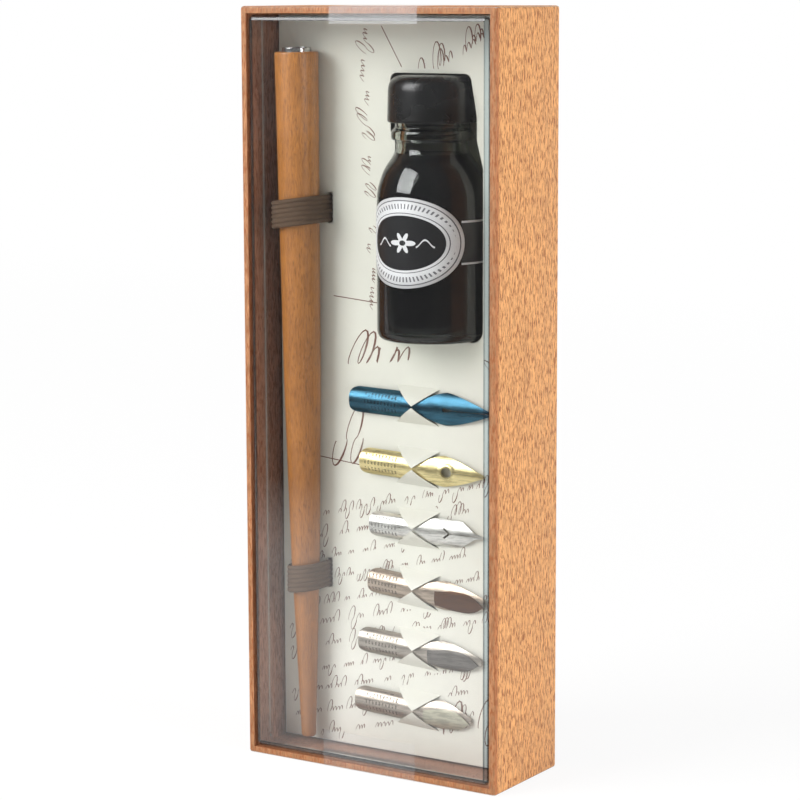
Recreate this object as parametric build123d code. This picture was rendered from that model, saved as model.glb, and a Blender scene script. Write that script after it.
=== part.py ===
from build123d import *
import math
import os

# A calligraphy set in a standing display box. Millimetres, +Z up along the box's long side,
# front towards -Y, origin at the middle of the underside.

# ---------------------------------------------------------------- box
BOX_W = 75.5
BOX_D = 31.0
BOX_H = 195.0
BOARD = 1.4
PAPER = 0.2
LINER = 0.15
BOX_ROUND = 0.6

# ---------------------------------------------------------------- clear cover and its two tapes
COVER_GAP = 0.3
FILM = 0.35
SKIRT = 8.0
COVER_CORNER = 1.5
COVER_FOLD = 0.7
FOLD_THINNING = 0.33
TAPE = 0.06
TAPE_LIFT = 0.02
TAPE_TOP_X = (-10.5, 15.3)
TAPE_TOP_DROP = 4.3
TAPE_TOP_BACK = 12.0
TAPE_BOTTOM_X = (-13.8, 14.1)
TAPE_BOTTOM_RISE = 9.8

# ---------------------------------------------------------------- how far cutters run past what they cut
OVER = 1.0
REACH = 60.0

# ---------------------------------------------------------------- folded card that holds the set
RECESS = 13.8
CARD = 0.5
CARD_GAP = 0.3
CARD_SEAT = 0.15
CARD_FOLD = 0.45
CARD_SLIT = 0.5
CARD_HINGE = 1.0

# ---------------------------------------------------------------- ink bottle
BOTTLE_X = 10.4
BOTTLE_Z = 111.8
BOTTLE_R = 14.1
BOTTLE_BACK_GAP = 0.25
BODY_H = 36.2
HEEL = 2.0
SHOULDER_H = 11.3
SHOULDER_DROP = 4.6
SHOULDER_R = 12.75
NECK_R = 9.0
NECK_H = 2.4
BEAD_R = 10.4
BEAD_H = 3.2
FINISH_R = 9.5
FINISH_H = 10.8
GLASS = 1.6
GLASS_FLOOR = 1.7
BORE_R = 7.2
INK_GAP = 0.05
INK_H = 46.5

# ---------------------------------------------------------------- screw cap and its liner
CAP_R = 11.35
CAP_WALL = 1.3
CAP_CROWN = 1.15
CAP_BEVEL = 1.0
CAP_ABOVE_BEAD = 1.4
CAP_LINER = 1.0
CAP_FIT = 0.1
CAP_LINER_GAP = 0.3

# ---------------------------------------------------------------- bottle label
LABEL = 0.12
LABEL_GAP = 0.03
LABEL_Z = 137.1
OVAL_HALF_ARC = 16.3
OVAL_HALF_H = 11.3
STRIP_LOW = 130.5
STRIP_HIGH = 141.5
STRIP_TURN = 300.0

# ---------------------------------------------------------------- cut-out round the bottle
HOLE_GAP = 0.4
HOLE_SEAT = 0.3
HOLE_RIGHT_TOP = 0.35
HOLE_RIGHT_NECK = 13.6
HOLE_RIGHT_BODY = 15.4
HOLE_NECK_IN = 0.5
# corners of the cut-out as (sideways, upwards, corner radius) from a named line of the bottle
HOLE_FOOT_LEFT = (0.0, 0.0, 3.0)
HOLE_SHOULDER_LOW = (0.0, -8.8, 4.0)
HOLE_SHOULDER_HIGH = (1.5, -4.6, 3.0)
HOLE_NECK_LOW = (-0.5, -0.6, 1.6)
HOLE_NECK_HIGH = (-0.55, 2.2, 1.5)
HOLE_CAP_FOOT = (0.0, -1.6, 3.0)
HOLE_CAP_LEFT = (0.0, 0.0, 1.8)
HOLE_CAP_RIGHT = (0.0, 0.0, 2.0)
HOLE_NECK_RIGHT_HIGH = (0.0, 3.0, 8.0)
HOLE_NECK_RIGHT_LOW = (0.0, 2.6, 5.0)
HOLE_SHOULDER_RIGHT = (0.0, -4.0, 6.0)
HOLE_FOOT_RIGHT = (0.0, 0.0, 3.2)

# ---------------------------------------------------------------- penholder
PEN_TAIL = (-25.1, -5.84, 3.9)
PEN_HEAD = (-25.8, -7.75, 183.5)
PEN_RADII = ((0.0, 1.95), (47.4, 3.7), (95.2, 4.79), (179.6, 5.66))
PEN_HEAD_BEVEL = 0.6
PEN_TAIL_BEVEL = 0.9
FERRULE_R = 3.75
FERRULE_WALL = 0.35
FERRULE_FIT = 0.04
FERRULE_DEEP = 18.0
FERRULE_PROUD = 1.1
CLAW_WALL = 0.25
CLAW_DEEP = 14.0
CLAW_RING = 2.5
CLAW_SLOT = 1.5

# ---------------------------------------------------------------- elastic loops
BAND_WIDE = 7.2
BAND_THICK = 0.95
BAND_TILT = 8.0
BAND_CLEAR = 0.32
BAND_BACK = 0.15
BAND_SLOT = 0.35
BANDS = {
    "elastic_upper": {"z": 142.9, "leg": 5.3, "slack": 0.9},
    "elastic_lower": {"z": 47.2, "leg": 4.0, "slack": 0.0},
}

# ---------------------------------------------------------------- nibs, in the order from the bottle down
NIB_X = 6.7
NIB_Z = 94.4
NIB_PITCH = 15.9
NIB_SHEET = 0.25
NIB_LIFT = 0.15
SHANK_R = 3.75
SHANK_CROWN = 2.9
SHANK_HALF = 3.4
SHANK_END = 2.0
WAIST_HALF = 2.0
WAIST_LONG = 3.2
BODY_DROP = 0.1
TIP_CROWN = 0.95
BULGE_ROUND = 2.0
BULGE_ROUND_FINE = 1.2
# the bulge's outline as (length, half width): a share of the tip's or the bulge's size, then an added length
BULGE_REAR = (-2.5, 0.97)
BULGE_FRONT = (1.0, 1.0)
BULGE_FRONT_FINE = (1.5, 1.0)
BULGE_TAPER = 0.74
SHOULDER_FINE = (0.68, 0.93)
SHANK_FINE = (0.86, 0.75)
NIBS = {
    "nib_blue": {"heel": 19.3, "tip": 22.6, "half": 4.2, "r": 6.0, "wide_at": 9.0, "point": 0.25, "tilt": -1.3},
    "nib_gold": {"heel": 16.2, "tip": 20.2, "half": 4.0, "r": 5.8, "wide_at": 8.0, "point": 0.25, "tilt": -1.9},
    "nib_silver": {"heel": 13.3, "tip": 19.9, "half": 3.5, "r": 5.2, "wide_at": 7.5, "point": 0.22, "tilt": -0.7},
    "nib_broad_bronze": {"heel": 13.9, "tip": 20.3, "half": 3.8, "r": 5.6, "wide_at": 8.5, "point": 1.25, "tilt": -4.4},
    "nib_broad_grey": {"heel": 16.9, "tip": 19.4, "half": 3.8, "r": 5.6, "wide_at": 8.0, "point": 0.95, "tilt": -2.8},
    "nib_broad_pale": {"heel": 18.0, "tip": 16.3, "half": 3.8, "r": 5.6, "wide_at": 7.5, "point": 0.7, "tilt": -2.6},
}
VENTS = {"nib_blue": "tear", "nib_gold": "round", "nib_silver": "vee"}
SLIT = 0.16
VENT_AFTER_BULGE = 1.5
VENT_ROUND_R = 1.3
VENT_TEAR_HALF = 0.55
VENT_TEAR_LONG = 3.6
VENT_TEAR_HEEL = 0.7
VENT_VEE_ANGLE = 38.0
VENT_VEE_LONG = 2.9
VENT_VEE_WIDE = 0.32
RESERVOIRS = {
    "reservoir_bronze": {"on": "nib_broad_bronze", "from": 6.3, "to": 20.0, "half": 2.6},
    "reservoir_grey": {"on": "nib_broad_grey", "from": 4.2, "to": 18.6, "half": 2.6},
    "reservoir_pale": {"on": "nib_broad_pale", "from": 3.0, "to": 15.9, "half": 2.5},
}
RESERVOIR_SEAT = 0.05
RESERVOIR_TAB = 2.6
RESERVOIR_TAB_IN = 0.8

# ---------------------------------------------------------------- crossed slits: two card flaps lie over each nib
FLAP_HALF_LONG = 6.5
FLAP_LAP = 0.5
FLAP_CLEAR = 0.45
FLAP_TIP = 0.2
FLAP_FIT = 0.1
FLAP_ROOT = 0.8

# ---------------------------------------------------------------- worked out from the sizes above
WALL = BOARD + 2 * PAPER
FRONT = -BOX_D / 2
BASE_Y = BOX_D / 2 - PAPER - BOARD
SEAT_Y = BASE_Y - LINER
FACE_Y = FRONT + RECESS
CARD_BACK_Y = FACE_Y + CARD
BOTTLE_Y = SEAT_Y - BOTTLE_BACK_GAP - BOTTLE_R
NECK_FOOT = BODY_H + SHOULDER_H
BEAD_FOOT = NECK_FOOT + NECK_H
BEAD_TOP = BEAD_FOOT + BEAD_H
LIP = BEAD_TOP + FINISH_H
CAP_FOOT = BEAD_TOP + CAP_ABOVE_BEAD
CAP_CEILING = LIP + CAP_FIT + CAP_LINER + CAP_FIT / 2
CAP_TOP = CAP_CEILING + CAP_CROWN


def block(low, high):
    """A box between two corners."""
    size = [b - a for a, b in zip(low, high)]
    middle = [(a + b) / 2 for a, b in zip(low, high)]
    return Pos(*middle) * Box(*size)


def turned(outline):
    """The full turn about Z of a closed outline of (radius, height) points."""
    return revolve(Plane.XZ * Polygon(*outline, align=None), Axis.Z, 360)


# ---------------------------------------------------------------- box pieces
def tray_board():
    """The scored greyboard folded up: a back panel, two long sides and two ends between them."""
    half, low, high = BOX_W / 2 - PAPER, PAPER, BOX_H - PAPER
    front, back = FRONT + PAPER, BOX_D / 2 - PAPER
    inner = half - BOARD
    body = fillet(block((-half, front, low), (half, back, high)).edges().filter_by(Axis.Z), BOX_ROUND - PAPER)
    panels = [
        block((-half, BASE_Y, low), (half, back, high)),
        block((-half, front, low), (-inner, BASE_Y, high)),
        block((inner, front, low), (half, BASE_Y, high)),
        block((-inner, front, low), (inner, BASE_Y, low + BOARD)),
        block((-inner, front, high - BOARD), (inner, BASE_Y, high)),
    ]
    return Compound(children=[(body & panel).solid() for panel in panels])


def wrap_paper(board):
    """The paper round the board: a back sheet and four mitred strips folded over the rims."""
    skin = block((-BOX_W / 2, FRONT, 0), (BOX_W / 2, BOX_D / 2, BOX_H))
    skin = fillet(skin.edges().filter_by(Axis.Z), BOX_ROUND)
    inside = block(
        (-BOX_W / 2 + WALL, FRONT - OVER, WALL),
        (BOX_W / 2 - WALL, BASE_Y, BOX_H - WALL),
    )
    paper = skin - inside
    for panel in board.solids():
        paper -= panel
    walls = block((-BOX_W, FRONT - OVER, -OVER), (BOX_W, BASE_Y, BOX_H + OVER))
    low, high = (-BOX_W / 2, FRONT, 0), (BOX_W / 2, BOX_D / 2, BOX_H)
    return Compound(children=[*(paper - walls).solids(), *quarters(paper & walls, low, high)])


def base_liner():
    return block(
        (-BOX_W / 2 + WALL, SEAT_Y, WALL),
        (BOX_W / 2 - WALL, BASE_Y, BOX_H - WALL),
    )


# ---------------------------------------------------------------- cover pieces
def clear_cover():
    """One sheet of film: a front panel and four skirts that meet in mitres at the corners."""
    side = WALL + COVER_GAP
    low, high = (-BOX_W / 2 + side, FRONT, side), (BOX_W / 2 - side, FRONT + SKIRT, BOX_H - side)
    outer = block(low, high)
    outer = fillet(outer.edges().filter_by(Axis.Y), COVER_CORNER)
    outer = chamfer(outer.faces().sort_by(Axis.Y)[0].edges(), COVER_FOLD)
    inner = block(
        (low[0] + FILM, FRONT + FILM, low[2] + FILM),
        (high[0] - FILM, high[1] + OVER, high[2] - FILM),
    )
    inner = fillet(inner.edges().filter_by(Axis.Y), COVER_CORNER - FILM)
    inner = chamfer(inner.faces().sort_by(Axis.Y)[0].edges(), COVER_FOLD - FILM * FOLD_THINNING)
    film = outer - inner
    fold = COVER_CORNER
    window = block(
        (low[0] + fold, FRONT - OVER, low[2] + fold),
        (high[0] - fold, FRONT + FILM + OVER, high[2] - fold),
    )
    return Compound(children=[(film & window).solid(), *quarters(film - window, low, high)])


def quarters(frame, low, high):
    """A frame round the front cut into its four sides along the corners' diagonals."""
    half = (high[0] - low[0]) / 2
    left, right = low[0] - OVER, high[0] + OVER
    foot, head = low[2] - OVER, high[2] + OVER
    lower, upper = (0, low[2] + half), (0, high[2] - half)
    outlines = [
        ((left, foot), lower, upper, (left, head)),
        ((right, foot), lower, upper, (right, head)),
        ((left, head), upper, (right, head)),
        ((left, foot), lower, (right, foot)),
    ]
    prisms = [Plane.XZ * extrude(Polygon(*points, align=None), BOX_D, both=True) for points in outlines]
    return [solid for prism in prisms for solid in (frame & prism).solids()]


def tape_top():
    over = BOX_H + TAPE_LIFT
    face = block(
        (TAPE_TOP_X[0], FRONT - TAPE_LIFT - TAPE, BOX_H - TAPE_TOP_DROP),
        (TAPE_TOP_X[1], FRONT - TAPE_LIFT, over + TAPE),
    )
    back = block(
        (TAPE_TOP_X[0], FRONT - TAPE_LIFT - TAPE, over),
        (TAPE_TOP_X[1], FRONT + TAPE_TOP_BACK, over + TAPE),
    )
    return face + back


def tape_bottom():
    return block(
        (TAPE_BOTTOM_X[0], FRONT - TAPE_LIFT - TAPE, 0),
        (TAPE_BOTTOM_X[1], FRONT - TAPE_LIFT, TAPE_BOTTOM_RISE),
    )


# ---------------------------------------------------------------- penholder pieces
def pen_plane():
    return Plane(origin=PEN_TAIL, z_dir=Vector(*PEN_HEAD) - Vector(*PEN_TAIL))


def pen_length():
    return (Vector(*PEN_HEAD) - Vector(*PEN_TAIL)).length


def pen_radius(along):
    """The wood's radius at a distance from its tail, straight between the turned stations."""
    for (s0, r0), (s1, r1) in zip(PEN_RADII, PEN_RADII[1:]):
        if along <= s1:
            return r0 + (r1 - r0) * (along - s0) / (s1 - s0)
    return PEN_RADII[-1][1]


def pen_centre(z):
    """Where the pen's axis is at a height."""
    share = (z - PEN_TAIL[2]) / (PEN_HEAD[2] - PEN_TAIL[2])
    return [a + (b - a) * share for a, b in zip(PEN_TAIL, PEN_HEAD)]


def penholder_wood():
    long = pen_length()
    stations = [(r, s * long / PEN_RADII[-1][0]) for s, r in PEN_RADII]
    bore = FERRULE_R + FERRULE_FIT
    tail, head = stations[0][0], stations[-1][0]
    outline = [
        (0, 0),
        (tail - PEN_TAIL_BEVEL, 0),
        (tail, PEN_TAIL_BEVEL),
        *stations[1:-1],
        (head, long - PEN_HEAD_BEVEL),
        (head - PEN_HEAD_BEVEL, long),
        (bore, long),
        (bore, long - FERRULE_DEEP),
        (0, long - FERRULE_DEEP),
    ]
    return pen_plane() * turned(outline)


def pen_ferrule():
    long = pen_length()
    low, high = long - FERRULE_DEEP + FERRULE_FIT, long + FERRULE_PROUD
    tube = Pos(0, 0, (low + high) / 2) * Cylinder(FERRULE_R, high - low)
    tube -= Pos(0, 0, (low + high) / 2) * Cylinder(FERRULE_R - FERRULE_WALL, high - low + 2 * OVER)
    return pen_plane() * tube


def nib_claw():
    """The sprung crown inside the ferrule: four leaves standing on a ring."""
    long = pen_length()
    foot = long - CLAW_DEEP
    ring = FERRULE_R - FERRULE_WALL - FERRULE_FIT
    neck, top = foot + CLAW_RING, long + FERRULE_PROUD / 2
    outline = [(ring - CLAW_WALL, foot), (ring, foot), (ring, top), (ring - CLAW_WALL, top)]
    claw = turned(outline)
    cut = Pos(0, 0, neck + CLAW_DEEP) * Box(CLAW_SLOT, 3 * FERRULE_R, 2 * CLAW_DEEP)
    return pen_plane() * (claw - cut - Rot(0, 0, 90) * cut)


# ---------------------------------------------------------------- bottle pieces
def at_bottle(shape):
    return Pos(BOTTLE_X, BOTTLE_Y, BOTTLE_Z) * shape


def glass_inside(shrink):
    """The inside of the glass from the axis to the bore's foot, moved in by a gap."""
    wall, bore = BOTTLE_R - GLASS - shrink, BORE_R - shrink
    return [(0, GLASS_FLOOR + shrink), (wall, GLASS_FLOOR + shrink), (wall, BODY_H - GLASS), (bore, NECK_FOOT - GLASS)]


def bottle_glass():
    outline = [
        (0, 0),
        (BOTTLE_R - HEEL, 0),
        (BOTTLE_R, HEEL),
        (BOTTLE_R, BODY_H),
        (SHOULDER_R, NECK_FOOT - SHOULDER_DROP),
        (NECK_R, NECK_FOOT),
        (NECK_R, BEAD_FOOT),
        (BEAD_R, BEAD_FOOT),
        (BEAD_R, BEAD_TOP),
        (FINISH_R, BEAD_TOP),
        (FINISH_R, LIP),
        (BORE_R, LIP),
        *reversed(glass_inside(0)),
    ]
    return at_bottle(turned(outline))


def ink():
    full = turned([*glass_inside(INK_GAP), (0, NECK_FOOT - GLASS)])
    return at_bottle(full - Pos(0, 0, INK_H + NECK_FOOT) * Box(REACH, REACH, 2 * NECK_FOOT))


def bottle_label():
    inner = BOTTLE_R + LABEL_GAP
    shell_h = BODY_H - HEEL
    middle = HEEL + shell_h / 2
    shell = Pos(0, 0, middle) * (Cylinder(inner + LABEL, shell_h) - Cylinder(inner, shell_h + 2 * OVER))
    steps = 16
    rim = []
    for i in range(steps):
        turn = 2 * math.pi * i / steps
        arc = OVAL_HALF_ARC * math.cos(turn) / inner
        rim.append(((inner + LABEL) * math.sin(arc), OVAL_HALF_H * math.sin(turn)))
    oval = make_face(Spline(*rim, periodic=True))
    oval = Pos(0, 0, LABEL_Z - BOTTLE_Z) * (Plane.XZ * extrude(oval, 2 * BOTTLE_R))
    front = Pos(0, -BOTTLE_R, middle) * Box(4 * BOTTLE_R, 2 * BOTTLE_R, 2 * shell_h)
    strip_h = STRIP_HIGH - STRIP_LOW
    strip = Cylinder(inner + LABEL, strip_h, arc_size=STRIP_TURN) - Cylinder(inner, strip_h + 2 * OVER)
    strip = Rot(0, 0, -90 - STRIP_TURN / 2) * strip
    strip = Pos(0, 0, (STRIP_LOW + STRIP_HIGH) / 2 - BOTTLE_Z) * strip
    return at_bottle((shell & oval & front) + strip)


def cap_liner():
    r = CAP_R - CAP_WALL - CAP_LINER_GAP
    return at_bottle(Pos(0, 0, LIP + CAP_FIT + CAP_LINER / 2) * Cylinder(r, CAP_LINER))


def bottle_cap():
    bore = CAP_R - CAP_WALL
    outline = [
        (bore, CAP_FOOT),
        (CAP_R, CAP_FOOT),
        (CAP_R, CAP_TOP - CAP_BEVEL),
        (CAP_R - CAP_BEVEL, CAP_TOP),
        (0, CAP_TOP),
        (0, CAP_CEILING),
        (bore, CAP_CEILING),
    ]
    return at_bottle(turned(outline))


# ---------------------------------------------------------------- elastic loops
def band_loop(band):
    """The loop's ring in plan: round the pen, down through the card and shut behind it."""
    x, y, _ = pen_centre(band["z"])
    reach = pen_radius(band["z"] + BAND_WIDE / 2 - PEN_TAIL[2]) + BAND_CLEAR
    back = CARD_BACK_Y + BAND_BACK
    about_pen = Pos(x, y) * Circle(reach)
    slack = Pos(x - band["slack"], y) * Circle(reach)
    through = Pos(x, back - OVER) * Rectangle(2 * band["leg"], 2 * OVER)
    edges = about_pen.edges() + slack.edges() + through.edges()
    inside = make_hull(edges)
    return offset(inside, BAND_THICK, kind=Kind.ARC) - inside


def band_slab(band, wide):
    """A slab about the loop's middle, tilted so that its right end stands higher."""
    return Pos(*pen_centre(band["z"])) * Rot(0, -BAND_TILT, 0) * Box(REACH, REACH, wide)


def elastic(band):
    tall = 3 * BAND_WIDE
    column = Pos(0, 0, band["z"] - tall / 2) * extrude(band_loop(band), tall)
    return column & band_slab(band, BAND_WIDE)


def band_slots(band):
    """The two slots in the card that the loop's legs go through."""
    x = pen_centre(band["z"])[0]
    wide = BAND_WIDE + 2 * BAND_SLOT
    columns = []
    for side in (-1, 1):
        middle = x + side * (band["leg"] + BAND_THICK / 2)
        columns.append(
            Pos(middle, FACE_Y, band["z"]) * Box(BAND_THICK + 2 * BAND_SLOT, 4 * CARD, 3 * wide)
        )
    return (columns[0] + columns[1]) & band_slab(band, wide)


# ---------------------------------------------------------------- nibs, drawn flat: X heel to tip, Z off the card
def nib_place(index, nib):
    tilt = math.radians(nib["tilt"])
    return Plane(
        origin=(NIB_X, FACE_Y, NIB_Z - index * NIB_PITCH),
        x_dir=(math.cos(tilt), 0, math.sin(tilt)),
        z_dir=(0, -1, 0),
    )


def tube(radius, skin, start, end):
    """A tube about the nib's length whose middle surface has the radius given."""
    middle, long = (start + end) / 2, end - start
    outer = Pos(middle, 0, 0) * Rot(0, 90, 0) * Cylinder(radius + skin, long)
    return outer - Pos(middle, 0, 0) * Rot(0, 90, 0) * Cylinder(radius - skin, long + 2 * OVER)


def shank_sheet(nib):
    """The round half that a holder's claw takes."""
    return Pos(0, 0, SHANK_CROWN - SHANK_R) * tube(SHANK_R, NIB_SHEET / 2, -nib["heel"] - OVER, 0)


def body_sheet(nib, out=0.0):
    """The flatter half, its crown coming down to the point, moved off its own surface by out."""
    crown = SHANK_CROWN - BODY_DROP
    dip = math.degrees(math.atan2(crown - TIP_CROWN, nib["tip"]))
    sheet = tube(nib["r"] + out, NIB_SHEET / 2, -OVER, nib["tip"] + 2 * OVER)
    return Pos(0, 0, crown) * Rot(0, dip, 0) * Pos(0, 0, -nib["r"]) * sheet & block((0, -REACH, -REACH), (REACH, REACH, REACH))


def half_outline(nib, fine):
    """Half of the sheet's outline as points from heel to tip, with the bulge to be rounded."""
    heel, tip, half, wide = nib["heel"], nib["tip"], nib["half"], nib["wide_at"]
    points = [
        (-heel + SHANK_END, SHANK_HALF),
        (-WAIST_LONG, SHANK_HALF),
        (-WAIST_LONG / 2, WAIST_HALF),
        (WAIST_LONG / 2, WAIST_HALF),
        (wide + BULGE_REAR[0], half * BULGE_REAR[1]),
    ]
    if fine:
        points.append((wide + BULGE_FRONT_FINE[0], half * BULGE_FRONT_FINE[1]))
        points.append((tip * SHOULDER_FINE[0], half * SHOULDER_FINE[1]))
        points.append((tip * SHANK_FINE[0], SHANK_FINE[1]))
    else:
        points.append((wide + BULGE_FRONT[0], half * BULGE_FRONT[1]))
        points.append(((wide + tip) / 2, half * BULGE_TAPER))
    return [*points, (tip, nib["point"])]


def nib_outline(nib, fine):
    upper = half_outline(nib, fine)
    lower = [(x, -y) for x, y in reversed(upper)]
    sheet = Polygon(*upper, *lower, align=None)
    ends = -WAIST_LONG, nib["tip"] - WAIST_LONG
    bulge = [v for v in sheet.vertices() if ends[0] < v.X < ends[1] and abs(v.Y) > WAIST_HALF / 2]
    if fine:
        return fillet(bulge, BULGE_ROUND_FINE)
    heel = sheet.vertices().group_by(Axis.X)[0]
    return fillet(heel, SHANK_END) + fillet(bulge, BULGE_ROUND)


def nib_cuts(vent, nib):
    """The vent and the slit that runs from it to the point."""
    starts = nib["wide_at"] + VENT_AFTER_BULGE
    cuts = []
    if vent == "round":
        cuts.append(Pos(starts, 0) * Circle(VENT_ROUND_R))
    elif vent == "tear":
        starts = nib["wide_at"]
        tear = [(0, VENT_TEAR_HALF), (VENT_TEAR_LONG, 0), (0, -VENT_TEAR_HALF), (-VENT_TEAR_HEEL, 0)]
        cuts.append(Pos(starts, 0) * Polygon(*tear, align=None))
    elif vent == "vee":
        bar = Pos((VENT_VEE_WIDE - VENT_VEE_LONG) / 2, 0) * Rectangle(VENT_VEE_LONG, VENT_VEE_WIDE)
        arm = Pos(starts, 0) * Rot(0, 0, VENT_VEE_ANGLE) * bar
        cuts += [arm, mirror(arm, about=Plane.XZ)]
    ends = nib["tip"] + 2 * OVER
    cuts.append(Pos((starts + ends) / 2, 0) * Rectangle(ends - starts, SLIT))
    return [extrude(cut, REACH, both=True) for cut in cuts]


def above_card(shape):
    """What stands clear of the card's face."""
    return shape & block((-REACH, -REACH, NIB_LIFT), (REACH, REACH, REACH))


def nib_solid(name, nib):
    vent = VENTS.get(name)
    sheet = above_card(shank_sheet(nib) + body_sheet(nib))
    solid = sheet & extrude(nib_outline(nib, vent == "vee"), REACH, both=True)
    for cut in nib_cuts(vent, nib):
        solid -= cut
    return solid


def reservoir_solid(spec):
    """The second leaf, springing off the sheet below it towards the point."""
    nib = NIBS[spec["on"]]
    middle, long = (spec["from"] + spec["to"]) / 2, spec["to"] - spec["from"]
    tab = Pos(spec["from"] + RESERVOIR_TAB_IN, 0) * Rectangle(RESERVOIR_TAB, RESERVOIR_TAB)
    leaf = Pos(middle, 0) * Ellipse(long / 2, spec["half"]) + tab
    return above_card(body_sheet(nib, NIB_SHEET + RESERVOIR_SEAT) & extrude(leaf, REACH, both=True))


# ---------------------------------------------------------------- the card
def bottle_hole():
    """The cut-out, close to the bottle on its left side and wider on its right."""
    low = BOTTLE_Z - HOLE_SEAT
    high = BOTTLE_Z + CAP_TOP + HOLE_GAP
    left = BOTTLE_X - BOTTLE_R - HOLE_GAP
    neck = BOTTLE_X - NECK_R - HOLE_GAP - HOLE_NECK_IN
    cap = BOTTLE_X - CAP_R - HOLE_GAP
    neck_z = BOTTLE_Z + NECK_FOOT
    cap_z = BOTTLE_Z + BEAD_TOP
    corners = [
        (left, low, HOLE_FOOT_LEFT),
        (left, neck_z, HOLE_SHOULDER_LOW),
        (left, neck_z, HOLE_SHOULDER_HIGH),
        (neck, neck_z, HOLE_NECK_LOW),
        (neck, neck_z, HOLE_NECK_HIGH),
        (cap, cap_z, HOLE_CAP_FOOT),
        (cap, high, HOLE_CAP_LEFT),
        (BOTTLE_X + CAP_R + HOLE_RIGHT_TOP, high, HOLE_CAP_RIGHT),
        (BOTTLE_X + HOLE_RIGHT_NECK, cap_z, HOLE_NECK_RIGHT_HIGH),
        (BOTTLE_X + HOLE_RIGHT_NECK, neck_z, HOLE_NECK_RIGHT_LOW),
        (BOTTLE_X + HOLE_RIGHT_BODY, neck_z, HOLE_SHOULDER_RIGHT),
        (BOTTLE_X + HOLE_RIGHT_BODY, low, HOLE_FOOT_RIGHT),
    ]
    points = [(x + dx, z + dz) for x, z, (dx, dz, _) in corners]
    outline = Polygon(*points, align=None)
    for (x, z), (_, _, (_, _, radius)) in zip(points, corners):
        corner = outline.vertices().sort_by_distance((x, z, 0))[0]
        outline = fillet(corner, radius)
    return Pos(0, FACE_Y, 0) * (Plane.XZ * extrude(outline, 6 * CARD, both=True))


def crossed_slits(index, nib):
    """The hole that the two raised flaps leave, its edges inside the flaps' thickness."""
    reach = math.sqrt((flap_inner() + CARD / 2) ** 2 - flap_drop() ** 2)
    hole = Sketch()
    for side in (-1, 1):
        hole += Polygon(
            (0, -side * FLAP_TIP),
            (FLAP_HALF_LONG - FLAP_LAP, side * reach),
            (FLAP_LAP - FLAP_HALF_LONG, side * reach),
            align=None,
        )
    return nib_place(index, nib) * extrude(hole, 2 * CARD, both=True)


def flap_inner():
    """Radius of the raised flaps' underside."""
    return SHANK_R + NIB_SHEET / 2 + FLAP_CLEAR + FLAP_FIT


def flap_drop():
    """How far the flaps' centre lies behind the card's face."""
    return SHANK_R - SHANK_CROWN + FLAP_FIT


def flaps(index, nib):
    inner = flap_inner()
    length = 2 * (FLAP_HALF_LONG + OVER)
    arch = Rot(0, 90, 0) * (Cylinder(inner + CARD, length) - Cylinder(inner, length + 2 * OVER))
    arch = Pos(0, 0, -flap_drop()) * arch
    outer_reach = math.sqrt((inner + CARD) ** 2 - flap_drop() ** 2)
    shape = Sketch()
    for side in (-1, 1):
        shape += Polygon(
            (0, side * FLAP_TIP),
            (FLAP_HALF_LONG, side * outer_reach),
            (-FLAP_HALF_LONG, side * outer_reach),
            align=None,
        )
    keep = extrude(shape, REACH, both=True) - block((-REACH, -REACH, -REACH), (REACH, REACH, -CARD * FLAP_ROOT))
    return nib_place(index, nib) * (arch & keep)


def insert_card():
    side = WALL + CARD_GAP
    low, high = (-BOX_W / 2 + side, side), (BOX_W / 2 - side, BOX_H - side)
    back = SEAT_Y - CARD_SEAT
    outer = block((low[0], FACE_Y, low[1]), (high[0], back, high[1]))
    folds = outer.faces().sort_by(Axis.Y)[0].edges()
    outer = fillet(folds, CARD_FOLD)
    inner = block((low[0] + CARD, CARD_BACK_Y, low[1] + CARD), (high[0] - CARD, back + OVER, high[1] - CARD))
    card = outer - inner
    for x in low[0], high[0]:
        inwards = 1 if x < 0 else -1
        for z in low[1], high[1]:
            card -= Pos(x + inwards * (CARD + CARD_SLIT / 2), (CARD_BACK_Y + back) / 2 + CARD_HINGE, z) * Box(
                CARD_SLIT, back - CARD_BACK_Y, 4 * CARD
            )
    card -= bottle_hole()
    for band in BANDS.values():
        card -= band_slots(band)
    for index, nib in enumerate(NIBS.values()):
        card -= crossed_slits(index, nib)
    for index, nib in enumerate(NIBS.values()):
        card += flaps(index, nib)
    return card


# ---------------------------------------------------------------- everything, one file per piece
def pieces():
    board = tray_board()
    made = {
        "tray_board": board,
        "wrap_paper": wrap_paper(board),
        "base_liner": base_liner(),
        "insert_card": insert_card(),
        "penholder_wood": penholder_wood(),
        "pen_ferrule": pen_ferrule(),
        "nib_claw": nib_claw(),
        "bottle_glass": bottle_glass(),
        "ink": ink(),
        "bottle_label": bottle_label(),
        "cap_liner": cap_liner(),
        "bottle_cap": bottle_cap(),
        "clear_cover": clear_cover(),
        "tape_top": tape_top(),
        "tape_bottom": tape_bottom(),
    }
    for name, band in BANDS.items():
        made[name] = elastic(band)
    places = {}
    for index, (name, nib) in enumerate(NIBS.items()):
        places[name] = nib_place(index, nib)
        made[name] = places[name] * nib_solid(name, nib)
    for name, spec in RESERVOIRS.items():
        made[name] = places[spec["on"]] * reservoir_solid(spec)
    return made


os.makedirs("parts", exist_ok=True)
for name, shape in pieces().items():
    export_step(shape, f"parts/{name}.step")
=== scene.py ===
"""A calligraphy set in a standing display box, laid out as an add-on and run as a script."""

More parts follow.
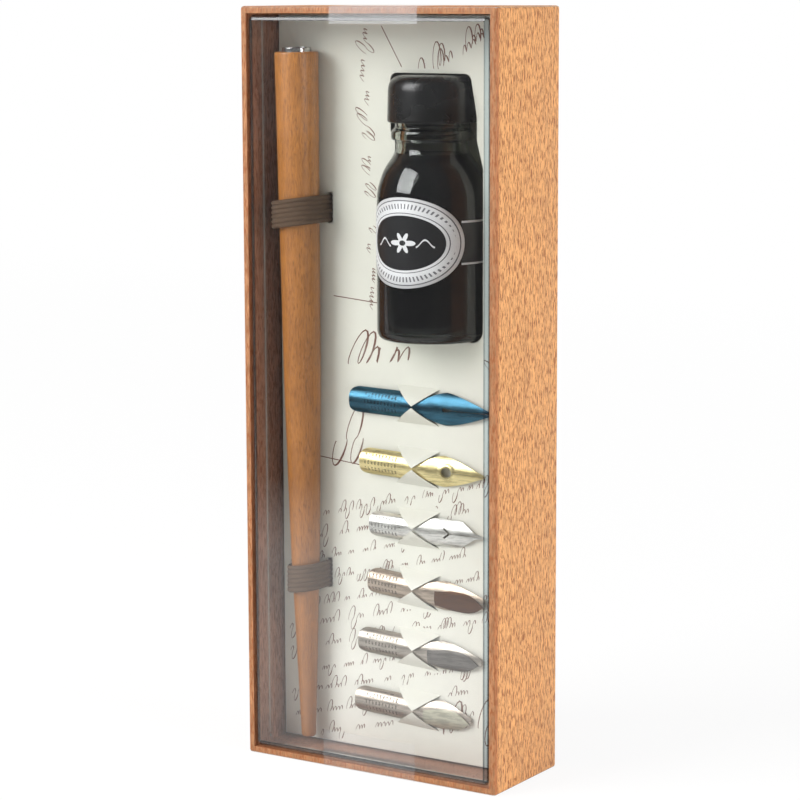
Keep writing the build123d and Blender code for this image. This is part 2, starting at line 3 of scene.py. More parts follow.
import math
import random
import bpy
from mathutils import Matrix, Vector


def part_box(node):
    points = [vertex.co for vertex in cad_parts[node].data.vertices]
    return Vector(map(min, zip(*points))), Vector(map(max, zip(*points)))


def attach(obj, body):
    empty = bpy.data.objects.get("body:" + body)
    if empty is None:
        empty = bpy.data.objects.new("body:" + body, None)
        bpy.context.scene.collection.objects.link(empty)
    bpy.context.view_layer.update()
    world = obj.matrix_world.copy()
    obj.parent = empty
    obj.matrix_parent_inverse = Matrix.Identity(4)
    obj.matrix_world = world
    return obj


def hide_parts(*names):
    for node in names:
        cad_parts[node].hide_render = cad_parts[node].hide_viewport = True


bl_info = {
    "name": "Calligraphy Set Box",
    "version": (1, 0, 0),
    "blender": (4, 5, 0),
    "location": "3D View > Sidebar > Calligraphy Set",
    "description": "Builds the box, card, penholder, bottle, nibs and clear cover",
    "category": "Add Mesh",
}

from collections import namedtuple

import bmesh
import bpy
from bmesh.types import BMEdge, BMFace, BMVert
from bpy.props import FloatProperty, FloatVectorProperty, IntProperty, PointerProperty
from mathutils import Matrix, Vector

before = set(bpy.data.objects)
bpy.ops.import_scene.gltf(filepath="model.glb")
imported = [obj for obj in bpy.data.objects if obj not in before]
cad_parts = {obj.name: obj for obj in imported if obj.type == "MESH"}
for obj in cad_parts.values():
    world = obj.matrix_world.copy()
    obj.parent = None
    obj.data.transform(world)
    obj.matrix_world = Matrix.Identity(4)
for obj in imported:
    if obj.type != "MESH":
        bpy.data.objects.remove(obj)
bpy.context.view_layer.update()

MM = 0.001


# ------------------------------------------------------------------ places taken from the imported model
def node_box(name):
    """A node's lowest and highest corners in millimetres."""
    low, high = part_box(name)
    return Vector(low) / MM, Vector(high) / MM


BOX_LOW, BOX_HIGH = node_box("wrap_paper")
GLASS_LOW, GLASS_HIGH = node_box("bottle_glass")
BOTTLE = Vector(((GLASS_LOW.x + GLASS_HIGH.x) / 2, (GLASS_LOW.y + GLASS_HIGH.y) / 2, GLASS_LOW.z))
CARD_LOW, CARD_HIGH = node_box("insert_card")
# Places inside the nodes' boxes, in millimetres: the card's front face and the holder's axis.
CARD_FACE = -1.7
PEN_TAIL = Vector((-25.1, -5.84, 3.9))
PEN_HEAD = Vector((-25.8, -7.75, 183.5))
PEN_LONG = (PEN_HEAD - PEN_TAIL).length
# The waist of the top nib and the step down to the next.
NIB_X, NIB_Z, NIB_PITCH = 6.7, 94.4, 15.9
SHANK_MIDDLE = 9.6  # from a nib's waist back to the middle of its shank
LABEL_Z = 137.1
LABEL_ROUND = 14.16  # radius of the label's inner face
LABEL_OVAL = (16.3, 11.3)  # half its width round the bottle and half its height
LABEL_STRIP = 15.4  # where the strip comes out from under the oval
WALL = 1.8  # from the outside of the box to the paper inside
SMALL = 0.01  # millimetres within which two places count as one

# Thickness of the sheets that have one.
PAPER_SKIN, LABEL_SKIN, FILM_SKIN, NIB_SKIN, LEAF_SKIN = 0.18, 0.07, 0.3, 0.22, 0.2


# ------------------------------------------------------------------ sizes and colours a user would change
def colour(name, description, default):
    return FloatVectorProperty(
        name=name, description=description, default=default, subtype="COLOR", size=3, min=0.0, max=1.0
    )


def millimetres(name, description, default):
    return FloatProperty(name=name, description=description, default=default * MM, unit="LENGTH", min=0.0)


def watts(name, description, default):
    return FloatProperty(name=name, description=description, default=default, min=0.0, unit="POWER")


class BoxSettings(bpy.types.PropertyGroup):
    rim_round: millimetres("Rim round", "Radius of the paper's folds over the board", 0.8)
    paper: colour("Paper", "Ground colour of the printed paper", (0.77, 0.385, 0.15))
    fleck: colour("Fleck", "Colour of the flecks printed on the paper", (0.27, 0.082, 0.022))
    # Partly painted shade: the worn colour darkens the whole front face of the rim, not only its folds.
    worn: colour("Worn fold", "Colour of the rubbed folds", (0.22, 0.09, 0.045))
    rubbed_edge: colour("Rubbed edge", "Colour of the stripe beside the front folds", (0.42, 0.135, 0.05))
    # Painted shade: the paper turned in is the same paper as outside, given a darker colour for the shade
    # inside the walls.
    inner: colour("Shaded paper", "Ground colour of the paper turned in", (0.52, 0.255, 0.15))


class CardSettings(bpy.types.PropertyGroup):
    card: colour("Card", "Ground colour of the card", (0.69, 0.695, 0.605))
    # Painted light: the paler colour the card takes towards the bottom, for light bounced up from the floor.
    tone: colour("Card tone", "Warmer tone the card drifts to", (0.79, 0.78, 0.71))
    script: colour("Script", "Colour of the scribbled script", (0.15, 0.058, 0.036))
    seed: IntProperty(name="Script seed", description="Picks another run of scribbles", default=11)


class HolderSettings(bpy.types.PropertyGroup):
    light: colour("Wood light", "Lighter grain of the holder", (0.53, 0.21, 0.04))
    dark: colour("Wood dark", "Darker grain of the holder", (0.16, 0.055, 0.013))
    elastic: colour("Elastic", "Colour of the elastic loops", (0.1, 0.058, 0.031))


class BottleSettings(bpy.types.PropertyGroup):
    glass: colour("Glass", "Tint of the glass", (0.52, 0.56, 0.52))
    ink: colour("Ink", "Colour of the ink", (0.004, 0.004, 0.005))
    cap: colour("Cap", "Colour of the cap", (0.004, 0.004, 0.0035))
    label: colour("Label", "Pale colour of the label", (0.68, 0.69, 0.69))
    label_dark: colour("Label dark", "Dark colour of the label", (0.012, 0.012, 0.013))


class CoverSettings(bpy.types.PropertyGroup):
    fold_round: millimetres("Fold", "Radius of the film's fold round the front", 1.5)
    corner: millimetres("Corner", "Radius of the film's corners", 1.6)
    film: colour("Film", "Tint of the clear film", (0.985, 0.987, 0.989))
    # Painted shade: the deeper tint stands in for light bent at the fold, and is not a colour of the film.
    fold: colour("Fold tint", "Deeper tint where the film is folded", (0.8, 0.86, 0.9))


class NibSettings(bpy.types.PropertyGroup):
    blue: colour("Blued", "Colour of the blued nib", (0.05, 0.15, 0.22))
    gold: colour("Gilt", "Colour of the gilt nib", (0.95, 0.82, 0.42))
    silver: colour("Nickel", "Colour of the fine nib", (0.85, 0.85, 0.8))
    bronze: colour("Bronzed", "Colour of the widest broad nib", (0.5, 0.41, 0.32))
    grey: colour("Grey", "Colour of the middle broad nib", (0.47, 0.43, 0.37))
    pale: colour("Pale", "Colour of the smallest broad nib", (0.52, 0.46, 0.39))


class StageSettings(bpy.types.PropertyGroup):
    floor: colour("Floor", "Colour of the floor", (0.96, 0.96, 0.96))
    key: watts("Key lamp", "Power of the main soft lamp", 30.0)
    fill: watts("Fill lamp", "Power of the soft lamp on the right", 15.0)
    air: FloatProperty(name="Air", description="Strength of the light from all round", default=0.45, min=0.0)


# ------------------------------------------------------------------ mesh helpers
def new_object(name, data):
    made = bpy.data.objects.new(name, data)
    bpy.context.collection.objects.link(made)
    return made


def mesh_of(name, bm):
    """The mesh that bm holds. It frees bm."""
    mesh = bpy.data.meshes.new(name)
    bm.to_mesh(mesh)
    bm.free()
    return mesh


def sheet_object(name, bm, body, materials, stands_for=(), crease=35.0, place=None):
    """Turns a mesh drawn in millimetres into a finished piece at its place."""
    if place is not None:
        bmesh.ops.transform(bm, matrix=place, verts=bm.verts)
    bmesh.ops.scale(bm, vec=(MM, MM, MM), verts=bm.verts)
    limit = math.radians(crease)
    for face in bm.faces:
        face.smooth = True
    for edge in bm.edges:
        edge.smooth = len(edge.link_faces) != 2 or edge.calc_face_angle(0.0) < limit
    piece = new_object(name, mesh_of(name, bm))
    for material in materials:
        piece.data.materials.append(material)
    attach(piece, body)
    if stands_for:
        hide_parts(*stands_for)
    return piece


def give_skin(piece, name, thick, offset, even=False):
    """Gives a sheet that is one face thick its real thickness."""
    skin = piece.modifiers.new(name, "SOLIDIFY")
    skin.thickness, skin.offset, skin.use_even_offset = thick * MM, offset, even


def parts_of(made, kind):
    """The vertices, edges or faces among what a bmesh operator made."""
    return [part for part in made["geom"] if isinstance(part, kind)]


def add_path(curve, points, closed=False):
    """Adds straight runs through (x, y, z, radius) points to a curve."""
    spline = curve.splines.new("POLY")
    spline.points.add(len(points) - 1)
    for knot, (x, y, z, radius) in zip(spline.points, points):
        knot.co = (x, y, z, 1.0)
        knot.radius = radius
    spline.use_cyclic_u = closed


def lathe(profile, closed=True, steps=96, segments=5):
    """Turns (radius, height, rounding) points about Z. Rounded points become arcs."""
    bm = bmesh.new()
    rounded = []
    for i, (r, z, rounding) in enumerate(profile):
        rounded += arc((r, z), profile[i - 1][:2], profile[(i + 1) % len(profile)][:2], rounding, segments)
    verts = [bm.verts.new((r, 0, z)) for r, z in rounded]
    pairs = list(zip(verts, verts[1:])) + ([(verts[-1], verts[0])] if closed else [])
    for pair in pairs:
        bm.edges.new(pair)
    bmesh.ops.spin(
        bm, geom=bm.verts[:] + bm.edges[:], cent=(0, 0, 0), axis=(0, 0, 1),
        angle=math.tau, steps=steps, use_merge=True,
    )
    tidy(bm)
    return bm


def arc(corner, before, after, reach, segments):
    """The corner of a profile, or a smooth curve that cuts it off reach along both sides."""
    if not reach:
        return [corner]
    corner = Vector(corner)
    sides = [Vector(end) - corner for end in (before, after)]
    start, end = [corner + side.normalized() * min(reach, side.length * 0.48) for side in sides]
    shares = [i / segments for i in range(segments + 1)]
    return [tuple(start.lerp(corner, t).lerp(corner.lerp(end, t), t)) for t in shares]


def tidy(bm):
    bmesh.ops.remove_doubles(bm, verts=bm.verts, dist=1e-4)
    bmesh.ops.dissolve_degenerate(bm, edges=bm.edges, dist=1e-5)
    bmesh.ops.recalc_face_normals(bm, faces=bm.faces)


def soften(bm, edges, offset, segments=3):
    return bmesh.ops.bevel(
        bm, geom=edges, offset=offset, offset_type="OFFSET", affect="EDGES",
        segments=segments, profile=0.5, material=-1,
    )


def block(bm, low, high):
    """A box between two corners."""
    made = bmesh.ops.create_cube(bm, size=1.0)["verts"]
    low, high = Vector(low), Vector(high)
    bmesh.ops.scale(bm, vec=high - low, verts=made)
    bmesh.ops.translate(bm, vec=(low + high) / 2, verts=made)
    return made


def baked(piece):
    """The piece's mesh with its modifiers applied."""
    graph = bpy.context.evaluated_depsgraph_get()
    graph.update()
    return bpy.data.meshes.new_from_object(piece.evaluated_get(graph), depsgraph=graph)


def swept(curve):
    """The solid of a curve's bevel as a bmesh."""
    carrier = new_object("carrier", curve)
    bm = bmesh.new()
    bm.from_mesh(baked(carrier))
    bpy.data.objects.remove(carrier)
    return bm


def pen_place():
    """Takes a shape turned about Z onto the holder's leaning axis, its foot at the tail."""
    lean = (PEN_HEAD - PEN_TAIL).to_track_quat("Z", "Y")
    return Matrix.Translation(PEN_TAIL) @ lean.to_matrix().to_4x4()


# ------------------------------------------------------------------ material helpers
class Finish:
    """A material under construction, with short calls for its nodes."""

    def __init__(self, name):
        self.material = bpy.data.materials.new(name)
        self.material.use_nodes = True
        self.tree = self.material.node_tree
        self.shader = self.tree.nodes["Principled BSDF"]
        self.output = self.tree.nodes["Material Output"]

    def node(self, kind, sockets=(), **settings):
        """A new node with its settings and unlinked sockets filled in."""
        made = self.tree.nodes.new(kind)
        for key, value in settings.items():
            setattr(made, key, value)
        for key, value in dict(sockets).items():
            made.inputs[key].default_value = value
        return made

    def link(self, source, target):
        self.tree.links.new(source, target)

    def feed(self, socket, value):
        """Links a socket to what another node gives, or sets its number or colour."""
        if hasattr(value, "is_output"):
            self.link(value, socket)
        elif hasattr(value, "__len__"):
            socket.default_value = (*value[:3], 1.0)
        else:
            socket.default_value = value

    def place(self, centre=(0, 0, 0), scale=(1, 1, 1), turn=(0, 0, 0)):
        """Object coordinates in metres, moved, turned and scaled."""
        coordinates = self.node("ShaderNodeTexCoord")
        sockets = {"Location": [c * MM for c in centre], "Rotation": turn, "Scale": [1 / s for s in scale]}
        mapping = self.node("ShaderNodeMapping", sockets, vector_type="TEXTURE")
        self.link(coordinates.outputs["Object"], mapping.inputs["Vector"])
        return mapping.outputs["Vector"]

    def noise(self, vector, scale, detail=3.0, roughness=0.5, distortion=0.0):
        sockets = {"Scale": scale, "Detail": detail, "Roughness": roughness, "Distortion": distortion}
        made = self.node("ShaderNodeTexNoise", sockets)
        self.link(vector, made.inputs["Vector"])
        return made.outputs["Fac"]

    def ramp(self, value, stops):
        """stops are (position, colour or grey)."""
        made = self.node("ShaderNodeValToRGB")
        elements = made.color_ramp.elements
        while len(elements) < len(stops):
            elements.new(0.5)
        for element, (position, tone) in zip(elements, stops):
            element.position = position
            element.color = (*(tone if hasattr(tone, "__len__") else (tone,) * 3), 1.0)
        self.link(value, made.inputs["Fac"])
        return made.outputs["Color"]

    def mix(self, amount, a, b):
        """From a to b by an amount, as colours."""
        made = self.node("ShaderNodeMix", data_type="RGBA")
        self.feed(made.inputs[0], amount)
        for socket, value in ((made.inputs[6], a), (made.inputs[7], b)):
            self.feed(socket, value)
        return made.outputs[2]

    def maths(self, operation, a, b=0.0, c=0.0, clamp=False):
        made = self.node("ShaderNodeMath", operation=operation, use_clamp=clamp)
        for socket, value in zip(made.inputs, (a, b, c)):
            self.feed(socket, value)
        return made.outputs[0]

    def times(self, first, *others):
        for value in others:
            first = self.maths("MULTIPLY", first, value)
        return first

    def over(self, value, limit):
        return self.maths("GREATER_THAN", value, limit)

    def under(self, value, limit):
        return self.maths("LESS_THAN", value, limit)

    def split(self, vector):
        made = self.node("ShaderNodeSeparateXYZ")
        self.link(vector, made.inputs[0])
        return made.outputs

    def bump(self, height, strength, distance):
        made = self.node("ShaderNodeBump", {"Strength": strength, "Distance": distance})
        self.link(height, made.inputs["Height"])
        self.link(made.outputs["Normal"], self.shader.inputs["Normal"])

    def set(self, **values):
        names = {
            "colour": "Base Color", "rough": "Roughness", "metal": "Metallic", "coat": "Coat Weight",
            "coat_rough": "Coat Roughness", "ior": "IOR", "clear": "Transmission Weight",
            "shine": "Specular IOR Level",
        }
        for key, value in values.items():
            self.feed(self.shader.inputs[names[key]], value)

    def blend(self, amount, first, second):
        """From one node's shader to another's."""
        mixed = self.node("ShaderNodeMixShader")
        for socket, source in zip(mixed.inputs, (amount, first.outputs[0], second.outputs[0])):
            self.link(source, socket)
        return mixed

    def finish_with(self, shader):
        self.link(shader.outputs[0], self.output.inputs["Surface"])

    def let_lamps_through(self, tint):
        """Rays from lamps pass straight through, so that what is behind is lit."""
        through = self.node("ShaderNodeBsdfTransparent", {"Color": (*tint, 1.0)})
        shadow = self.node("ShaderNodeLightPath").outputs["Is Shadow Ray"]
        self.finish_with(self.blend(shadow, self.shader, through))


def shade(tone, factor):
    """A colour made darker or paler."""
    return [min(1.0, c * factor) for c in tone]


def printed_paper(name, ground, settings):
    """Printed bark paper: short dark flecks along the grain, paler streaks, and a darker worn colour at the
    front that is partly rubbed folds and partly painted shade.
    """
    finish = Finish(name)
    streaks = finish.noise(finish.place(scale=(1, 1, 0.14)), 1500.0, 4.0, 0.65)
    flecks = finish.noise(finish.place(centre=(3, 5, 7), scale=(1, 1, 0.2)), 2300.0, 3.0, 0.65, 0.4)
    cloud = finish.noise(finish.place(), 60.0, 3.0)
    tone = finish.ramp(streaks, [(0.3, shade(ground, 0.68)), (0.52, ground), (0.72, shade(ground, 1.2))])
    tone = finish.mix(finish.ramp(cloud, [(0.35, 0.0), (0.7, 0.35)]), tone, shade(ground, 0.86))
    front = finish.maths("SUBTRACT", finish.split(finish.place())[1], BOX_LOW.y * MM)
    frayed = finish.maths("MULTIPLY_ADD", streaks, 0.0008, front)
    # Within about a millimetre of the front the paper takes the worn colour: partly wear on the folds, partly
    # painted shade that keeps the front faces darker than the sides.
    worn = finish.ramp(finish.times(frayed, 600.0), [(0.3, 0.75), (0.72, 0.0)])
    rubbed = finish.ramp(streaks, [(0.35, shade(settings.worn, 0.6)), (0.65, shade(settings.worn, 1.35))])
    tone = finish.mix(worn, tone, rubbed)
    stripe = [(0.16, 0.0), (0.24, 0.75), (0.45, 0.6), (0.62, 0.0)]
    tone = finish.mix(finish.ramp(finish.times(frayed, 300.0), stripe), tone, settings.rubbed_edge)
    mask = finish.ramp(flecks, [(0.49, 0.0), (0.59, 0.9)])
    tone = finish.mix(mask, tone, settings.fleck)
    finish.set(colour=tone, rough=finish.ramp(streaks, [(0.3, 0.42), (0.7, 0.62)]), shine=0.35)
    finish.bump(finish.mix(0.5, streaks, mask), 0.35, 0.00012)
    return finish.material


def plain_board(name, ground):
    finish = Finish(name)
    fibre = finish.noise(finish.place(), 500.0, 4.0, 0.6)
    finish.set(colour=finish.ramp(fibre, [(0.3, shade(ground, 0.85)), (0.7, ground)]), rough=0.85)
    finish.bump(fibre, 0.2, 0.0001)
    return finish.material


def card_print(settings):
    """Coated card in cream with faint fibres, painted paler towards the bottom in blotches as painted bounce
    light.
    """
    finish = Finish("printed_card")
    fibre = finish.noise(finish.place(), 420.0, 4.0, 0.6)
    cloud = finish.noise(finish.place(centre=(0, 0, 40)), 22.0, 2.0, 0.5)
    z = finish.split(finish.place())[2]
    # Painted light: the card turns paler towards the bottom, in blotches, for light bounced up from the
    # floor.
    lower = finish.maths("MULTIPLY_ADD", z, -6.0, 1.0, clamp=True)
    blotchy_painted_light = finish.times(finish.ramp(cloud, [(0.3, 0.15), (0.7, 0.9)]), lower)
    tone = finish.mix(blotchy_painted_light, settings.card, settings.tone)
    tone = finish.mix(finish.ramp(fibre, [(0.35, 0.12), (0.6, 0.0)]), tone, shade(settings.tone, 0.75))
    finish.set(colour=tone, rough=0.5, shine=0.3)
    finish.bump(fibre, 0.08, 0.00005)
    return finish.material


def script_ink(settings):
    finish = Finish("script_ink")
    fade = finish.noise(finish.place(), 260.0, 3.0, 0.6)
    pale = [c * 0.2 + p * 0.8 for c, p in zip(settings.card, settings.script)]
    finish.set(colour=finish.ramp(fade, [(0.38, settings.script), (0.68, pale)]), rough=0.6)
    return finish.material


def turned_wood(settings):
    """Varnished fruitwood: fine pores along the holder over slow bands of colour."""
    finish = Finish("turned_wood")
    grain = finish.noise(finish.place(scale=(1, 1, 0.1)), 2400.0, 5.0, 0.6, 0.3)
    bands = finish.noise(finish.place(centre=(2, 1, 0), scale=(1, 1, 0.45)), 150.0, 4.0, 0.55, 0.4)
    pores = finish.noise(finish.place(centre=(9, 4, 0), scale=(1, 1, 0.2)), 3400.0, 2.0, 0.5)
    middle = [(a + b) / 2 for a, b in zip(settings.light, settings.dark)]
    bands = finish.maths("MULTIPLY_ADD", finish.split(finish.place(centre=(0, 0, 110)))[2], 3.0, bands)
    tone = finish.ramp(bands, [(0.25, middle), (0.8, settings.light)])
    tone = finish.mix(finish.ramp(grain, [(0.36, 0.4), (0.62, 0.0)]), tone, settings.dark)
    tone = finish.mix(finish.ramp(pores, [(0.34, 0.45), (0.46, 0.0)]), tone, shade(settings.dark, 0.45))
    finish.set(colour=tone, rough=0.4, coat=0.35, coat_rough=0.3)
    finish.bump(grain, 0.12, 0.0001)
    return finish.material


def ribbed_elastic(settings):
    finish = Finish("ribbed_elastic")
    weave = finish.noise(finish.place(scale=(1, 1, 1.6)), 3800.0, 2.0, 0.7)
    tone = finish.ramp(weave, [(0.3, shade(settings.elastic, 0.55)), (0.7, shade(settings.elastic, 1.35))])
    finish.set(colour=tone, rough=0.85)
    finish.bump(weave, 0.5, 0.00012)
    return finish.material


def stamp_mask(finish, height):
    """Rows of short struck marks on a nib's shank, which say nothing."""
    vector = finish.place(centre=(NIB_X - SHANK_MIDDLE, 0, height), turn=(0, math.radians(2.5), 0))
    x, _, z = finish.split(vector)
    broken = finish.over(finish.noise(vector, 1500.0, 1.0), 0.43)
    comb = finish.over(finish.maths("SINE", finish.times(x, 6200.0)), 0.1)
    rows = finish.over(finish.maths("COSINE", finish.times(z, 3700.0)), -0.25)
    near = finish.under(finish.maths("ABSOLUTE", x), 5.0 * MM)
    level = finish.under(finish.maths("ABSOLUTE", z), 2.4 * MM)
    return finish.times(comb, broken, rows, near, level, 0.85)


def plate(name, tone, rough, metal=0.95, stamped=None):
    """Pressed and plated sheet metal with faint draw marks and a drifting tarnish."""
    finish = Finish(name)
    marks = finish.noise(finish.place(scale=(0.12, 1, 1)), 1700.0, 3.0, 0.55)
    tarnish = finish.noise(finish.place(), 190.0, 3.0, 0.6)
    paint = finish.mix(finish.ramp(tarnish, [(0.35, 0.0), (0.75, 0.45)]), tone, shade(tone, 0.66))
    paint = finish.mix(finish.ramp(marks, [(0.42, 0.5), (0.56, 0.0)]), paint, shade(tone, 0.45))
    height = marks
    if stamped is not None:
        struck = stamp_mask(finish, stamped)
        paint = finish.mix(struck, paint, shade(tone, 0.22))
        metal = finish.maths("MULTIPLY_ADD", struck, -0.8, metal)
        height = finish.mix(0.8, marks, struck)
    finish.set(colour=paint, metal=metal, rough=finish.ramp(marks, [(0.3, rough * 0.9), (0.7, rough * 1.15)]))
    finish.shader.inputs["Specular Tint"].default_value = (0.25, 0.23, 0.21, 1.0)
    finish.bump(height, 0.03 if stamped is None else 0.25, 0.00005)
    return finish.material


def clear_glass(settings):
    finish = Finish("clear_glass")
    ripple = finish.noise(finish.place(), 70.0, 2.0, 0.5)
    finish.set(colour=settings.glass, rough=0.02, ior=1.5, clear=1.0)
    finish.bump(ripple, 0.05, 0.0002)
    finish.let_lamps_through(settings.glass)
    return finish.material


def wet_ink(settings):
    finish = Finish("wet_ink")
    swirl = finish.noise(finish.place(), 120.0, 2.0)
    finish.set(colour=finish.ramp(swirl, [(0.3, settings.ink), (0.8, shade(settings.ink, 1.8))]), rough=0.08)
    return finish.material


def moulded_plastic(name, tone, rough):
    finish = Finish(name)
    grain = finish.noise(finish.place(), 1600.0, 3.0, 0.6)
    worn = finish.noise(finish.place(), 130.0, 3.0, 0.6)
    scuffed = [c * 1.8 + 0.004 for c in tone]
    finish.set(
        colour=finish.mix(finish.ramp(worn, [(0.45, 0.0), (0.8, 0.3)]), tone, scuffed),
        rough=finish.ramp(worn, [(0.3, rough * 0.85), (0.7, rough * 1.25)]),
    )
    finish.bump(grain, 0.06, 0.00008)
    return finish.material


def label_print(settings):
    """A pale oval with a dark field and fine rules, and a dark strip with pale edges."""
    finish = Finish("label_print")
    pale, dark = settings.label, settings.label_dark
    x, y, z = finish.split(finish.place(centre=(BOTTLE.x, BOTTLE.y, LABEL_Z)))
    across = finish.times(finish.maths("ARCTAN2", x, finish.times(y, -1.0)), 14.2 * MM)

    def oval(half_wide, half_high):
        wide = finish.maths("POWER", finish.maths("DIVIDE", across, half_wide * MM), 2.0)
        high = finish.maths("POWER", finish.maths("DIVIDE", z, half_high * MM), 2.0)
        return finish.maths("SQRT", finish.maths("ADD", wide, high))

    outer, inner, motif = oval(*LABEL_OVAL), oval(11.3, 6.8), oval(9.0, 6.6)
    height = finish.maths("ABSOLUTE", finish.times(z, 100.0))
    strip = finish.ramp(height, [(0.0, dark), (0.49, dark), (0.5, pale)])
    tone = finish.mix(finish.over(outer, 1.0), pale, strip)
    ring = finish.maths("ARCTAN2", z, across)
    beads = finish.over(finish.maths("SINE", finish.times(ring, 60.0)), 0.25)
    beads = finish.times(beads, finish.under(outer, 0.86), finish.over(inner, 1.24))
    tone = finish.mix(beads, tone, shade(dark, 12))
    edge_rule = finish.maths("COMPARE", outer, 0.93, 0.011)
    inner_rule = finish.maths("COMPARE", inner, 1.09, 0.014)
    tone = finish.mix(finish.maths("MAXIMUM", edge_rule, inner_rule), tone, shade(dark, 9))
    tone = finish.mix(finish.under(inner, 1.0), tone, dark)
    petals = finish.maths("MULTIPLY_ADD", finish.maths("COSINE", finish.times(ring, 6.0)), 0.12, 0.28)
    tone = finish.mix(finish.under(motif, petals), tone, pale)
    tone = finish.mix(finish.under(motif, 0.1), tone, dark)
    side = finish.maths("ABSOLUTE", across)
    tail = finish.maths("COMPARE", side, 6.1 * MM, 2.4 * MM)
    wave = finish.times(finish.maths("SINE", finish.times(side, 1300.0)), 0.9 * MM)
    stroke = finish.maths("COMPARE", z, wave, 0.22 * MM)
    tone = finish.mix(finish.times(tail, stroke), tone, pale)
    finish.set(colour=tone, rough=0.38)
    finish.bump(finish.noise(finish.place(), 1500.0, 2.0), 0.05, 0.00004)
    return finish.material


def clear_film(name, tint, bend, haze, gloss=0.03, edge=1.0):
    """Thin clear film: shows what is behind it, mirrors more at a slant, and veils it a little.

    bend is the index that sets how much it mirrors. Where the film is folded, an edge
    below 1 darkens it in lines that follow the fold."""
    finish = Finish(name)
    finish.tree.nodes.remove(finish.shader)
    # Painted shade: the dark lines that follow the slant, with the fold's deeper tint, stand in for light
    # bent at the fold.
    slant = finish.node("ShaderNodeLayerWeight", {"Blend": 0.5})
    lines = finish.maths("COSINE", finish.times(slant.outputs["Facing"], 15.0))
    painted_refraction_tint = finish.mix(finish.maths("MULTIPLY_ADD", lines, -0.5, 0.5), tint, shade(tint, edge))
    through = finish.node("ShaderNodeBsdfTransparent")
    finish.link(painted_refraction_tint, through.inputs["Color"])
    mirror = finish.node("ShaderNodeBsdfGlossy", {"Color": (1.0, 1.0, 1.0, 1.0), "Roughness": gloss})
    veil = finish.node("ShaderNodeBsdfDiffuse", {"Color": (0.85, 0.86, 0.88, 1.0)})
    fresnel = finish.node("ShaderNodeFresnel", {"IOR": bend})
    outside = finish.maths("SUBTRACT", 1.0, finish.node("ShaderNodeNewGeometry").outputs["Backfacing"])
    shiny = finish.blend(finish.times(fresnel.outputs[0], outside), through, mirror)
    scuffs = finish.noise(finish.place(scale=(1, 1, 0.3)), 700.0, 5.0, 0.7)
    veiled = finish.ramp(scuffs, [(0.3, haze * 0.8), (0.75, haze * 1.25)])
    finish.finish_with(finish.blend(veiled, shiny, veil))
    return finish.material


# ------------------------------------------------------------------ box
class MakeBox(bpy.types.Operator):
    """Wrap the board tray in flecked paper, folded over the rims"""

    bl_idname = "calligraphy_set.make_box"
    bl_label = "Box"

    def execute(self, context):
        settings = context.scene.calligraphy_box
        low, high = BOX_LOW, BOX_HIGH
        bm = bmesh.new()
        block(bm, low, high)
        front = min(bm.faces, key=lambda f: f.calc_center_median().y)
        bmesh.ops.inset_region(bm, faces=[front], thickness=WALL, use_even_offset=True)
        grown = bmesh.ops.extrude_face_region(bm, geom=[front])
        bmesh.ops.delete(bm, geom=[front], context="FACES")
        inside_back = high.y - 1.75
        for vert in parts_of(grown, BMVert):
            vert.co.y = inside_back
        bmesh.ops.delete(bm, geom=parts_of(grown, BMFace), context="FACES_ONLY")
        bmesh.ops.recalc_face_normals(bm, faces=bm.faces)
        crisp = [e for e in bm.edges if len(e.link_faces) == 2 and e.calc_face_angle(0) > 1.0]
        outer = [e for e in crisp if all(self.on_outside(v.co) for v in e.verts)]
        soften(bm, outer, settings.rim_round / MM, 4)
        for face in bm.faces:
            face.material_index = 1 if self.turned_in(face.calc_center_median()) else 0
        materials = [
            printed_paper("printed_paper", settings.paper, settings),
            # The turned-in paper takes the darker colour as painted shade.
            printed_paper("printed_paper_turned_in", settings.inner, settings),
        ]
        piece = sheet_object("box_paper", bm, "box", materials, ["wrap_paper"])
        give_skin(piece, "paper thickness", PAPER_SKIN, -1.0, even=True)
        give_finish("tray_board", plain_board("greyboard", (0.4, 0.37, 0.33)))
        give_finish("base_liner", plain_board("lining_paper", (0.7, 0.64, 0.54)))
        return {"FINISHED"}

    def on_outside(self, place):
        """True on a side, the top or the bottom of the box."""
        near = min(BOX_HIGH.x - abs(place.x), place.z - BOX_LOW.z, BOX_HIGH.z - place.z)
        return near < SMALL

    def turned_in(self, place):
        """True on the paper inside the walls, behind the rim's fold."""
        reach = WALL - 0.05
        inside = abs(place.x) < BOX_HIGH.x - reach and BOX_LOW.z + reach < place.z < BOX_HIGH.z - reach
        return inside and place.y > BOX_LOW.y + 0.2


def give_finish(node, material):
    """Puts a finish on a CAD node that is shown as it is."""
    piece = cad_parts[node]
    piece.data.materials.clear()
    piece.data.materials.append(material)


